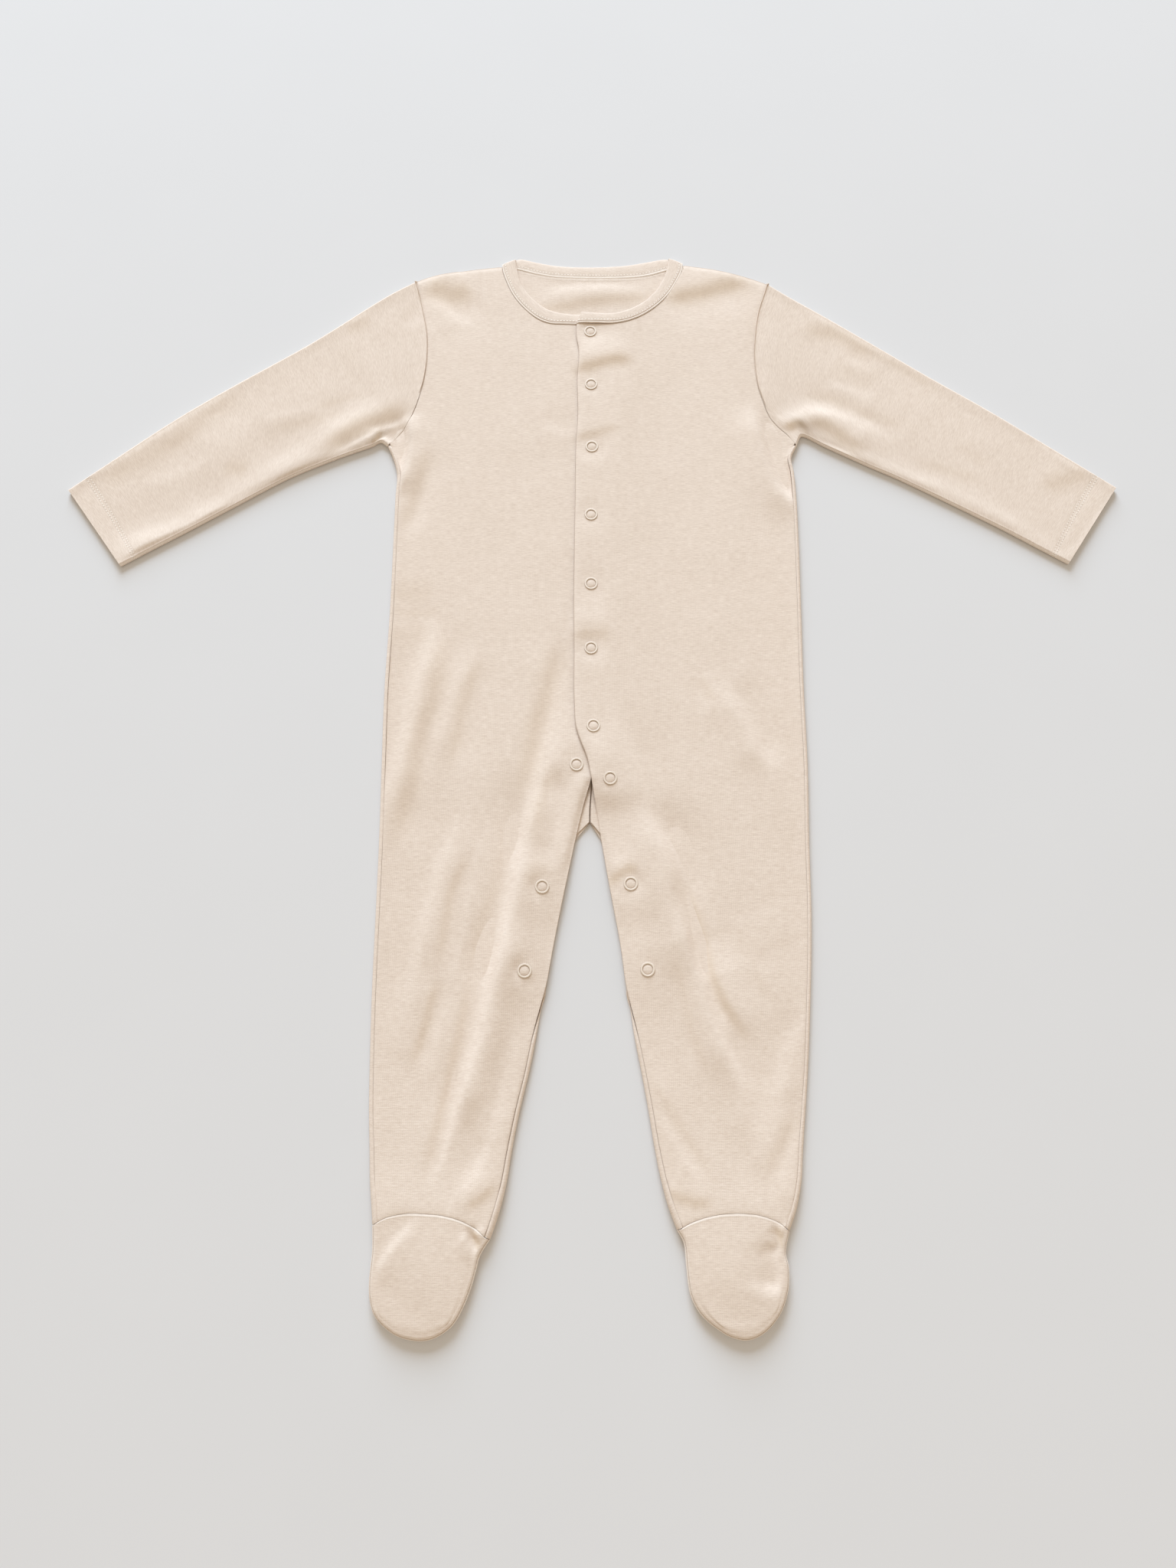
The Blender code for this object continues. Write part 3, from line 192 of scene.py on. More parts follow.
# Soft steps of the cloth: half width, how much lighter (or darker, below 0) the slope looks, points along it
trace, faint, slight, light, clear, firm, strong, bold = 2, 4, 6, 9, 13, 19, 27, 38
creases = [
    (6.5, light, [(-18, 55), (-27, 24), (-32, -12), (-38, -38), (-43, -60), (-48, -82)]),
    (4.5, strong, [(-43, -60), (-48, -82), (-52, -105), (-56, -127), (-62, -152), (-66, -175)]),
    (4.5, strong, [(-62, -152), (-66, -175), (-71, -197), (-76, -220), (-83, -242), (-88, -264)]),
    (2.0, clear, [(-83, -242), (-88, -264), (-94, -284), (-98, -298)]),
    (4.5, clear, [(-52, -217), (-57, -250), (-63, -270), (-70, -290), (-79, -304), (-84, -312)]),
    (6.5, clear, [(-119, 58), (-123, 38), (-126, 21), (-130, -1), (-136, -26), (-140, -52)]),
    (4.5, slight, [(-90, 60), (-94, 41), (-100, 24), (-105, 4), (-111, -12), (-114, -38)]),
    (4.5, light, [(-95, -77), (-104, -102), (-108, -122), (-114, -144), (-118, -166), (-122, -194)]),
    (3.0, slight, [(-74, -77), (-80, -99), (-84, -122), (-88, -152), (-94, -178), (-97, -200),
           (-105, -228)]),
    (6.5, clear, [(-14, -40), (-18, -62), (-22, -80), (-26, -100)]),
    (6.5, -light, [(-108, 58), (-112, 24), (-118, 4), (-122, -12), (-125, -38), (-130, -60),
           (-132, -80)]),
    (4.5, -light, [(-83, 44), (-90, 21), (-94, -1), (-98, -24)]),
    (6.5, -clear, [(-27, 52), (-32, 24), (-39, -1), (-42, -18), (-46, -43)]),
    (4.5, -light, [(-28, -35), (-35, -52), (-39, -77)]),
    (3.0, -light, [(-87, -99), (-94, -116), (-98, -138), (-101, -161)]),
    (4.5, -faint, [(-60, -82), (-66, -116), (-70, -127), (-76, -144), (-80, -166)]),
    (3.0, -clear, [(-104, -183), (-108, -203), (-111, -214), (-115, -228)]),
    (3.0, -light, [(-83, -186), (-86, -208), (-91, -231), (-95, -250), (-100, -273), (-104, -292)]),
    (3.0, trace, [(-58, -180), (-66, -208), (-72, -231), (-77, -253)]),
    (9.0, -faint, [(-46, -107), (-38, -108), (-30, -106)]),
    (4.5, -slight, [(-60, -304), (-69, -312), (-80, -318)]),
    (4.5, faint, [(-70, -258), (-72, -267), (-74, -278)]),
    (3.0, slight, [(17, 4), (25, -15), (31, -32), (36, -52), (42, -71), (50, -88)]),
    (6.5, firm, [(42, -71), (50, -88), (55, -105), (57, -124), (63, -144), (67, -164)]),
    (3.0, firm, [(63, -144), (67, -164), (73, -180), (78, -200), (84, -217), (91, -234)]),
    (4.5, light, [(84, -217), (91, -234), (97, -250), (101, -273)]),
    (4.5, clear, [(98, 24), (104, 10), (111, -7), (118, -26)]),
    (4.5, light, [(132, -206), (127, -218), (123, -228), (118, -248)]),
    (4.5, light, [(126, -276), (122, -288), (118, -298), (112, -312)]),
    (3.0, slight, [(43, -262), (53, -281), (62, -298)]),
    (3.0, -firm, [(66, -124), (73, -150), (78, -172), (84, -189), (90, -200), (95, -208)]),
    (3.0, -slight, [(56, -172), (64, -211), (70, -231)]),
    (3.0, -strong, [(10, -113), (18, -108), (28, -103)]),
    (3.0, -slight, [(42, -248), (50, -262), (64, -284), (73, -298)]),
    (3.0, -firm, [(46, -309), (53, -312), (62, -315), (72, -316)]),
    (4.5, -slight, [(126, -264), (118, -281), (109, -295)]),
    (3.0, -slight, [(76, 34), (80, 27), (86, 18)]),
    (3.0, -faint, [(108, -174), (112, -183), (116, -192)]),
    (9.0, -trace, [(94, -142), (98, -152), (102, -162)]),
    (4.5, clear, [(-128, 357), (-115, 346), (-102, 332)]),
    (9.0, slight, [(-11, 312), (0, 309), (14, 312), (24, 318)]),
    (3.0, bold, [(-142, 242), (-140, 222), (-142, 203), (-145, 188)]),
    (3.0, faint, [(-122, 196), (-126, 170), (-131, 148)]),
    (4.5, strong, [(127, 246), (129, 236), (133, 214), (138, 196), (144, 183), (151, 174)]),
    (4.5, -trace, [(126, 345), (124, 325), (124, 300)]),
    (4.5, light, [(-38, 241), (-16, 232)]),
    (9.0, slight, [(-12, 89), (-1, 87), (10, 89)]),
    (9.0, -firm, [(-130, 367), (-111, 359), (-98, 364)]),
    (6.5, -strong, [(62, 355), (87, 361), (105, 367), (120, 369)]),
    (4.5, -strong, [(-11, 288), (3, 293), (14, 296), (28, 298)]),
    (3.0, -clear, [(-12, 228), (-5, 229), (6, 233), (18, 237)]),
    (4.5, -light, [(-14, 67), (-1, 67), (12, 68)]),
    (4.5, -light, [(-125, 216), (-127, 205), (-131, 188), (-135, 170), (-139, 158)]),
    (9.0, strong, [(-345, 135), (-335, 145), (-320, 150), (-300, 157), (-290, 163), (-275, 173)]),
    (9.0, light, [(-290, 163), (-275, 173), (-260, 185), (-250, 194), (-240, 203), (-225, 213)]),
    (9.0, light, [(-240, 203), (-225, 213), (-215, 221), (-205, 230), (-195, 238), (-185, 246)]),
    (9.0, clear, [(-195, 238), (-185, 246), (-175, 252), (-163, 257)]),
    (6.5, -firm, [(-199, 220), (-190, 229), (-180, 236), (-170, 241), (-160, 246), (-147, 254)]),
    (2.0, bold, [(-192, 217), (-182, 223), (-172, 229), (-165, 233), (-155, 239), (-147, 243),
           (-138, 247)]),
    (4.5, -slight, [(-238, 237), (-220, 243), (-205, 247), (-193, 251)]),
    (3.0, -slight, [(-208, 256), (-192, 263), (-180, 268)]),
    (3.0, light, [(-248, 247), (-230, 252), (-212, 257)]),
    (4.5, light, [(-332, 194), (-315, 198), (-300, 205), (-288, 213)]),
    (9.0, -light, [(-368, 194), (-350, 204), (-340, 210), (-325, 220), (-310, 232)]),
    (6.5, -light, [(-325, 220), (-310, 232), (-300, 242), (-290, 252), (-275, 263)]),
    (6.5, -light, [(-192, 327), (-185, 330), (-175, 334)]),
    (6.5, -light, [(-276, 204), (-268, 203), (-260, 203)]),
    (4.5, slight, [(-147, 326), (-141, 332), (-135, 337)]),
    (6.5, clear, [(190, 215), (202, 211), (215, 207), (230, 201), (243, 195), (256, 190)]),
    (6.5, slight, [(243, 195), (256, 190), (270, 184), (285, 176), (300, 166), (315, 156)]),
    (4.5, faint, [(300, 166), (315, 156), (330, 147), (342, 139)]),
    (9.0, light, [(142, 243), (148, 250), (156, 254), (167, 256), (180, 254)]),
    (6.5, firm, [(167, 256), (180, 254), (193, 250), (205, 243), (216, 236)]),
    (9.0, faint, [(205, 243), (216, 236), (228, 227)]),
    (6.5, slight, [(198, 237), (210, 233), (222, 227)]),
    (4.5, -slight, [(170, 267), (182, 264), (194, 259), (206, 252), (218, 246)]),
    (4.5, -slight, [(206, 252), (218, 246), (234, 240)]),
    (3.0, -slight, [(168, 242), (178, 242), (186, 236), (195, 228), (206, 220)]),
    (9.0, -faint, [(186, 293), (200, 288), (210, 283), (218, 278)]),
    (4.5, -slight, [(248, 207), (262, 203), (275, 198), (288, 194)]),
    (6.5, -clear, [(168, 324), (185, 323), (197, 317), (207, 310), (217, 304)]),
    (4.5, -slight, [(207, 310), (217, 304), (232, 296), (247, 286), (262, 275)]),
    (6.5, -clear, [(338, 189), (350, 191), (360, 195), (370, 199)]),
    (4.5, -faint, [(278, 223), (286, 216), (295, 208)]),
    (3.0, light, [(196, 298), (204, 295), (214, 290)]),
    (3.0, clear, [(182, 276), (198, 272), (212, 264)]),
    (2.0, clear, [(344, 129), (355, 137), (365, 150), (375, 163), (384, 174)]),
    (9.0, -slight, [(-150, 104), (-135, 100), (-118, 99)]),
    (3.0, -slight, [(-150, 88), (-135, 85), (-112, 86)]),
    (9.0, -faint, [(-150, 70), (-138, 68), (-120, 70)]),
    (3.0, light, [(6, -58), (8, -72), (11, -86), (13, -100)]),
    (2.5, -firm, [(-62, -306), (-69, -312), (-77, -317)]),
    (4.5, trace, [(-8, 210), (1, 211), (10, 212)]),
    (2.6, strong, [(-112, -327), (-122, -338), (-129, -347), (-134, -356)]),
    (1.6, -bold, [(-74, -333), (-71, -338), (-70, -346)]),
    (1.8, strong, [(-79, -333), (-75, -338), (-73, -346)]),
    (1.8, light, [(112, -331), (115, -338), (118, -345), (119, -355)]),
    (2.0, -bold, [(114, -330), (116, -336), (118, -342)]),
    (4.0, strong, [(117, -340), (117, -352), (114, -366)]),
    (4.0, faint, [(-129, -364), (-120, -376), (-104, -384)]),
    (4.0, slight, [(70, -372), (84, -383), (99, -385)]),
    (4.5, strong, [(-36, 362), (-18, 366), (0, 367), (18, 367), (36, 363)]),
    (4.5, -firm, [(-40, 345), (-19, 349), (-1, 353), (24, 356), (43, 357)]),
    (2.4, -bold, [(148, 237), (153, 241), (159, 241), (162, 235)]),
    (5.0, -firm, [(163, 242), (172, 241), (182, 235), (192, 226), (200, 219)]),
    (5.0, firm, [(145, 246), (155, 249), (166, 252), (178, 251), (188, 247), (197, 241)]),
    (2.2, -bold, [(-161, 236), (-162, 231), (-165, 224)]),
    (2.0, clear, [(-168, 235), (-160, 239), (-151, 243), (-142, 247)]),
    (2.0, -strong, [(148, 236), (151, 238), (155, 236)]),
    (3.2, faint, [(-119, -330), (-127, -340), (-133, -349)]),
]


def follow(table, place, index):
    # a table's column at places of its first column, on a smooth curve
    xs = np.array([row[0] for row in table])
    ys = np.array([row[index] for row in table])
    slopes = np.gradient(ys, xs)
    place = np.clip(place, xs[0], xs[-1])
    k = np.clip(np.searchsorted(xs, place, side="right") - 1, 0, len(xs) - 2)
    span = xs[k + 1] - xs[k]
    t = (place - xs[k]) / span
    return ((1 + 2 * t) * (1 - t) ** 2 * ys[k] + t * (1 - t) ** 2 * span * slopes[k]
            + t * t * (3 - 2 * t) * ys[k + 1] + t * t * (t - 1) * span * slopes[k + 1])


def ease(t):
    t = np.clip(t, 0.0, 1.0)
    return t * t * (3 - 2 * t)


def bell(distance, reach):
    return np.exp(-(distance / reach) ** 2)


def pairs(table, first):
    return np.array([[row[first], row[first + 1]] for row in table], dtype=float)


def edgeOf(name, sign):
    return pairs(outline[name], 0 if sign < 0 else 2)


def gap(points, others):
    return np.linalg.norm(points - others, axis=-1)


def runAlong(line):
    return np.concatenate(([0.0], np.cumsum(gap(line[1:], line[:-1]))))


def stations(points, count):
    # count + 1 points evenly spaced along a smooth curve
    points = np.asarray(points, dtype=float)
    before = np.vstack((points[:1], points[:-2]))
    start, end = points[:-1], points[1:]
    after = np.vstack((points[2:], points[-1:]))
    t = (np.arange(16) / 16)[None, :, None]
    start, end, before, after = [part[:, None] for part in (start, end, before, after)]
    dense = 0.5 * (2 * start + (end - before) * t + (2 * before - 5 * start + 4 * end - after) * t ** 2
                   + (3 * start - before - 3 * end + after) * t ** 3)
    dense = np.vstack((dense.reshape(-1, points.shape[1]), points[-1:]))
    run = runAlong(dense)
    wanted = np.linspace(0.0, run[-1], count + 1)
    return np.column_stack([np.interp(wanted, run, dense[:, c]) for c in range(points.shape[1])])


def at(line, t):
    # points of a line at fractions of its stations
    steps = np.linspace(0.0, 1.0, len(line))
    return np.stack([np.interp(t, steps, line[:, c]) for c in range(line.shape[1])], axis=-1)


def between(start, end, count):
    return start + (end - start) * np.linspace(0.0, 1.0, count)[:, None]


def sideways(line, distance):
    direction = np.gradient(line, axis=0)
    direction /= np.linalg.norm(direction, axis=1)[:, None]
    return line + np.column_stack((-direction[:, 1], direction[:, 0])) * distance


def patch(bottom, top, left, right, us, vs, sampled=False):
    # plan of a four-sided patch between its edges, as [row][column]
    u, v = us[None, :, None], vs[:, None, None]
    across = (1 - v) * at(bottom, us)[None] + v * at(top, us)[None]
    if not sampled:
        left, right = at(left, vs), at(right, vs)
    along = (1 - u) * left[:, None] + u * right[:, None]
    corners = ((1 - u) * (1 - v) * bottom[0] + u * (1 - v) * bottom[-1]
               + (1 - u) * v * top[0] + u * v * top[-1])
    return across + along - corners


def spread(count, length, near=(0.25, 0.55, 1.2, 2.2, 3.4)):
    # fractions of an edge, closer together at both ends
    close = np.array(near) / length
    inner = np.linspace(close[-1], 1 - close[-1], count)
    return np.concatenate(([0.0], close[:-1], inner, 1 - close[:-1][::-1], [1.0]))


def side(sign, y):
    return follow(outline["side"], y, 1 if sign < 0 else 2)


def inseam(sign, y):
    return follow(outline["inseam"], y, 1 if sign < 0 else 2)


def fromSide(x, y):
    return np.minimum(x - side(-1, y), side(1, y) - x)


def fromInseam(x, y):
    return np.abs(x - np.where(x < legPlan["crotchX"], inseam(-1, y), inseam(1, y)))


def edgeHeight(y):
    return follow(outline["height"], y, 1)


def seamInset(y):
    return edgeHeight(y) / 2 + cloth["seamLand"]


def innerCurl(y):
    # 0 where the inner leg is open, 1 where it is sewn
    return ease((legPlan["curlTop"] - y) / legPlan["curlRun"])


def innerInset(y):
    curl = innerCurl(y)
    return (seamInset(y) + cloth["seamGap"] + 1.2 * (1 - curl)) * curl


def foldHeight(x, y):
    total = np.zeros_like(x)
    for x0, y0, x1, y1, bend, width, height in folds:
        length = math.hypot(x1 - x0, y1 - y0)
        along = np.clip(((x - x0) * (x1 - x0) + (y - y0) * (y1 - y0)) / length ** 2, 0.0, 1.0)
        aside = ((x - x0) * (y1 - y0) - (y - y0) * (x1 - x0)) / length
        aside = aside - bend * 4 * along * (1 - along)
        total += height * ease(along / 0.25) * ease((1 - along) / 0.25) * bell(aside, width)
    return total


creasePlan = {
    "gain": 130.0,           # how strongly a slope towards the light shows
    # strength of the painted warm shade in the darker creases, per level of darkness
    "paintedCreaseShade": 0.009,
    "leastLean": 0.3,        # a crease nearer to the light's direction gets no steeper than this asks
    "fadeShare": 0.38,       # of its length, at each end
    "longestFade": 45.0,
    "spacing": 7.0,
    "edge": 1.1,
    "reach": 4.0,            # in half widths
}


def lengthened(points):
    # a crease's line, longer by half a fade at both ends, with its length and fade
    points = np.array(points, dtype=float)
    length = runAlong(points)[-1]
    fade = min(creasePlan["fadeShare"] * length, creasePlan["longestFade"])
    for end, beside in ((0, 1), (-1, -2)):
        away = points[end] - points[beside]
        points[end] += away / np.linalg.norm(away) * fade / 2
    return points, length + fade, fade


def nearestOn(line, x, y):
    # signed distance from a line and place along it, from 0 to 1
    nearest, signed, place = np.full_like(x, 1e9), np.zeros_like(x), np.zeros_like(x)
    for k, (start, step) in enumerate(zip(line, np.diff(line, axis=0))):
        t = np.clip(((x - start[0]) * step[0] + (y - start[1]) * step[1]) / (step @ step), 0.0, 1.0)
        asideX, asideY = x - start[0] - t * step[0], y - start[1] - t * step[1]
        away = np.hypot(asideX, asideY)
        closer = away < nearest
        nearest = np.where(closer, away, nearest)
        signed = np.where(closer, away * np.sign(step[0] * asideY - step[1] * asideX), signed)
        place = np.where(closer, (k + t) / (len(line) - 1), place)
    return signed, place


def creaseShape(x, y):
    # lighter steps fall towards the light, darker ones rise towards it and get a painted warm shade
    plan = creasePlan
    total, warm = np.zeros_like(x), np.zeros_like(x)
    for width, shade, points in creases:
        points, length, fade = lengthened(points)
        reach = 2 * plan["reach"] * width + 2
        low, high = points.min(axis=0) - reach, points.max(axis=0) + reach
        close = (x > low[0]) & (x < high[0]) & (y > low[1]) & (y < high[1])
        if not close.any():
            continue
        line = stations(points, max(4, int(length / plan["spacing"])))
        signed, place = nearestOn(line, x[close], y[close])
        over = line[-1] - line[0]
        lean = (over[0] * lightFrom[1] - over[1] * lightFrom[0]) / np.linalg.norm(over)
        slope = shade / (plan["gain"] * max(abs(lean), plan["leastLean"])) * math.copysign(1.0, lean)
        taper = ease(np.minimum(place, 1 - place) * length / fade)
        step = np.tanh(plan["edge"] * signed / width) * bell(signed, plan["reach"] * width)
        total[close] -= slope * width * step * taper
        # painted warm shade along the darker creases only
        tone = -shade * plan["paintedCreaseShade"] * bell(signed, 1.2 * width) * taper
        warm[close] = np.maximum(warm[close], tone)
    return total, warm


def pocketMark(x, y):
    # the deepest shade where the sleeves fold under at the armpits
    total = np.zeros_like(x)
    for placeX, placeY, reach, amount in sleevePlan["pockets"]:
        total += amount * bell(np.hypot(x - placeX, y - placeY), reach)
    return total


# slow unevenness of cloth that was smoothed by hand: size of its waves, seed
rumples = {"front": (38.0, 1.7), "back": (30.0, 8.3), "sleeve": (34.0, 4.1), "sleeveBack": (28.0, 11.0),
           "sole": (20.0, 3.0)}


def rumple(x, y, name):
    size, seed = rumples[name]
    flat = [noise.noise(Vector((a / size, b / size, seed))) for a, b in zip(x.ravel(), y.ravel())]
    return np.array(flat).reshape(x.shape)


def roundSnap(x, y, place, reach):
    # 1 over a snap's seat, less and less outside it
    away = np.hypot(x - place[0], y - place[1])
    return bell(np.maximum(away - snapPlan["seat"], 0.0), reach)


def snapCalm(x, y):
    # 0 under a snap and 1 away from it
    calm = np.ones_like(x)
    for place in snapPlan["places"]:
        calm *= 1 - roundSnap(x, y, place, snapPlan["seatReach"])
    return calm


def unevenness(x, y):
    return creaseShape(x, y)[0] + 0.3 * rumple(x, y, "front")


snapLevels = unevenness(*np.array([place[:2] for place in snapPlan["places"]]).T)


def softHeight(x, y):
    # creases and unevenness, level under each snap so that its ring sits flat
    soft = unevenness(x, y)
    for place, level in zip(snapPlan["places"], snapLevels):
        soft = soft + (level - soft) * roundSnap(x, y, place, snapPlan["seatReach"])
    return soft


def snapRise(x, y):
    total = np.zeros_like(x)
    for number, place in enumerate(snapPlan["places"]):
        if number >= snapPlan["centre"]:
            total += snapPlan["rise"] * bell(np.hypot(x - place[0], y - place[1]), snapPlan["riseReach"])
        total -= place[2] * roundSnap(x, y, place, snapPlan["drawReach"])
    return total


footPlan = {
    "roll": 3.1,             # radius of the rolled edge
    "seamAngle": 40.0,       # where sole and instep meet, above the horizontal
    "height": 7.9,
    "heelGap": 0.35,
    "heelReach": 12.0,
    "heelBlend": 7.0,
    "length": 62.0,          # from toe to ankle, for the spacing of the rows
    "samples": 600,
    "rows": 34,
    "columns": 40,
    "near": (4.0, 2.8, 2.0, 1.5, 1.05, 0.7, 0.35, 0.0),      # last rows before the ankle
    "toeStart": 4,           # rows of the foot table where the toe end begins and ends
    "toeEnd": 8,
    # centre x, y, half width, half length
    "pillows": [(-105.0, -357.0, 29.0, 33.0), (87.5, -356.0, 29.0, 33.0)],
    "soleRise": 0.5,
    "soleClear": 12.0,
    "instepClear": 3.0,
    # the ankle seam's welt: height, place, reach; how dark its seam; its pale edge, a painted highlight:
    # tone, place, reach
    "welts": [(0.16, 0.9, 0.5), (-0.15, 0.0, 0.4)],
    "weltMark": 0.2,
    "weltEdge": (-0.9, 0.85, 0.45),
    # the rolled edge swells beside its seam: by how much, at which angle, over how many degrees
    "soleSwell": (0.15, 28.0, 12.0),
    "instepSwell": (-0.15, 44.0, 8.0),
    "soleSteps": 15,
    "instepSteps": 10,
    # tone of its last five rows, pale as a painted highlight, and of the seam itself
    "soleTones": (-0.6, 0.1),
    "instepTones": (-0.2, 0.5),
}


def pillowHeight(x, y):
    total = np.zeros_like(x)
    for centreX, centreY, halfWidth, halfLength in footPlan["pillows"]:
        radius = np.hypot((x - centreX) / halfWidth, (y - centreY) / halfLength)
        total += (footPlan["height"] - edgeHeight(y)) * bell(radius, 0.8)
    return total


def frontHeight(x, y):
    base = follow(outline["height"], y, 2)
    edge, inner = np.maximum(fromSide(x, y), 0.0), fromInseam(x, y)
    below = y < legPlan["crossing"]
    low = legPlan["openEdge"] + (edgeHeight(y) - legPlan["openEdge"]) * innerCurl(y)
    reach, foldClear, creaseClear = cloth["edgeReach"], cloth["foldClear"], cloth["creaseClear"]
    rise = (edgeHeight(y) - base) * bell(edge, reach)
    rise = rise + np.where(below, (low - base) * bell(inner, reach), 0.0)
    # folds and creases end before the edges
    free = ease((y - legPlan["armpit"]) / 16.0 + 1.0)
    settled = free + (1 - free) * ease((edge - seamInset(y)) / foldClear)
    folded = foldHeight(x, y) * settled * np.where(below, ease(inner / foldClear), 1.0)
    soft = softHeight(x, y) * ease(edge / creaseClear) * np.where(below, ease(inner / creaseClear), 1.0)
    return base + rise + folded + snapRise(x, y) + pillowHeight(x, y) + soft


placketPlan = {
    "lift": 2.6,
    "ramp": 45.0,
    "crossingRun": 26.0,     # the lap flattens over this below the fronts' crossing
    # how far its edge droops, reach
    "droop": (0.6, 2.6),
    "edgeDroop": (0.45, 0.45),
}


def placketLift(x, y):
    plan = placketPlan
    hidden = follow(outline["placket"], y, 2)
    across = 1 - ease((x - hidden) / plan["ramp"])
    crossing = ease((y - legPlan["crossing"] + plan["crossingRun"]) / plan["crossingRun"])
    edge = np.maximum(x - follow(outline["placket"], y, 1), 0.0)
    droop = sum(depth * bell(edge, reach) for depth, reach in (plan["droop"], plan["edgeDroop"]))
    return (plan["lift"] - droop) * across * crossing


def seamDip(distance, depth=cloth["seamDip"]):
    return depth * bell(distance, cloth["seamReach"])


# a dark line along a seam or an edge, partly painted contact shade
def seamAndShadeMark(distance):
    return bell(distance, 0.32)


def tonesOf(bm):
    # vertex layers: a seam's dark line, partly painted contact shade (below 0 a pale edge, partly a painted
    # highlight), and the painted warm shade in creases
    layers = bm.verts.layers.float
    for name in ("line", "warm"):
        if name not in layers:
            layers.new(name)
    return layers["line"], layers["warm"]


def addSheet(bm, points, uvs, marks=None, paintedCreaseShade=None):
    # a quad sheet from [row][column] points, with its own flat coordinates
    rows, columns = points.shape[0] - 1, points.shape[1] - 1
    line, warm = tonesOf(bm)
    made = bmesh.ops.create_grid(bm, x_segments=columns, y_segments=rows, size=1.0)["verts"]
    uvLayer = bm.loops.layers.uv.verify()
    flat = points.reshape(-1, 3)
    cut = uvs.reshape(-1, 2) * mm
    bm.verts.index_update()
    first = made[0].index
    for vertex, place in zip(made, flat):
        vertex.co = place
    for layer, values in ((line, marks), (warm, paintedCreaseShade)):
        if values is not None:
            for vertex, value in zip(made, values.ravel()):
                vertex[layer] = value
    for face in {f for vertex in made for f in vertex.link_faces}:
        for corner in face.loops:
            corner[uvLayer].uv = cut[corner.vert.index - first]


def faceOut(bm, direction):
    bmesh.ops.recalc_face_normals(bm, faces=bm.faces)
    total = sum((face.normal * face.calc_area() for face in bm.faces), Vector())
    if total.dot(Vector(direction)) < 0:
        bmesh.ops.reverse_faces(bm, faces=bm.faces)


def makeObject(name, bm, material, nodes=()):
    bmesh.ops.scale(bm, vec=(mm, mm, mm), verts=bm.verts)
    mesh = bpy.data.meshes.new(name)
    bm.to_mesh(mesh)
    bm.free()
    mesh.materials.append(material)
    mesh.shade_smooth()
    made = bpy.data.objects.new(name, mesh)
    bpy.context.scene.collection.objects.link(made)
    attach(made, "root")
    if nodes:
        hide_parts(*nodes)
    return made


def giveWall(made, wall=cloth["wall"], rounding=cloth["edgeRound"]):
    # the sheet's wall, inward from its outer face, with its edges rounded
    shell = made.modifiers.new("wall", "SOLIDIFY")
    shell.thickness = wall * mm
    shell.offset = -1.0
    shell.use_even_offset = False
    edge = made.modifiers.new("edge", "BEVEL")
    edge.width = rounding * mm
    edge.segments = 3
    edge.limit_method = "ANGLE"
    edge.angle_limit = math.radians(50)
    edge.use_clamp_overlap = True
    return made


def newGroup(name, inputs, outputs):
    group = bpy.data.node_groups.new(name, "ShaderNodeTree")
    for label, kind, value in inputs:
        group.interface.new_socket(label, in_out="INPUT", socket_type=kind).default_value = value
    for label in outputs:
        group.interface.new_socket(label, in_out="OUTPUT", socket_type="NodeSocketFloat")
    given, out = group.nodes.new("NodeGroupInput"), group.nodes.new("NodeGroupOutput")
    return group, given.outputs, out


def newMaterial(name):
    made = bpy.data.materials.new(name)
    made.use_nodes = True
    return made, made.node_tree, made.node_tree.nodes["Principled BSDF"]


def plug(tree, made, inputs):
    # by name or number: a socket is linked, anything else is set
    for key, value in inputs.items():
        if isinstance(value, bpy.types.NodeSocket):
            tree.links.new(value, made.inputs[key])
        else:
            made.inputs[key].default_value = value


def node(tree, kind, inputs, **settings):
    made = tree.nodes.new(kind)
    for key, value in settings.items():
        setattr(made, key, value)
    plug(tree, made, inputs)
    return made


def mathNode(tree, operation, a, b=0.0, clamp=False):
    return node(tree, "ShaderNodeMath", {0: a, 1: b}, operation=operation, use_clamp=clamp).outputs[0]


def mixColours(tree, factor, low, high):
    low, high = [(*end, 1) if isinstance(end, tuple) else end for end in (low, high)]
    return node(tree, "ShaderNodeMix", {0: factor, 6: low, 7: high}, data_type="RGBA").outputs[2]


def speckle(tree, place, stretch, detail, roughness=0.5):
    scaled = node(tree, "ShaderNodeMapping", {"Vector": place, "Scale": stretch}).outputs[0]
    inputs = {"Vector": scaled, "Scale": 1.0, "Detail": detail, "Roughness": roughness}
    return node(tree, "ShaderNodeTexNoise", inputs).outputs["Fac"]


def attribute(tree, name):
    return node(tree, "ShaderNodeAttribute", {}, attribute_name=name).outputs["Fac"]


knitPlan = {
    "stitch": 0.8,           # width of a stitch in millimetres
    "slant": (1.25, 1.1),    # of its two legs: along the wale, away from the wale's middle
    "legRound": 0.7,
    "waleRound": 0.6,
    # repeats per metre across, along and through
    "yarn": (230.0, 1500.0, 1.0),        # short streaks along the courses
    "clouds": (90.0, 260.0, 1.0),
    "fuzz": (2600.0, 2600.0, 2600.0),
    "cloudShade": 0.4,
    "stitchShade": 0.16,
    "fuzzHeight": 0.45,
    "yarnHeight": 0.35,
}


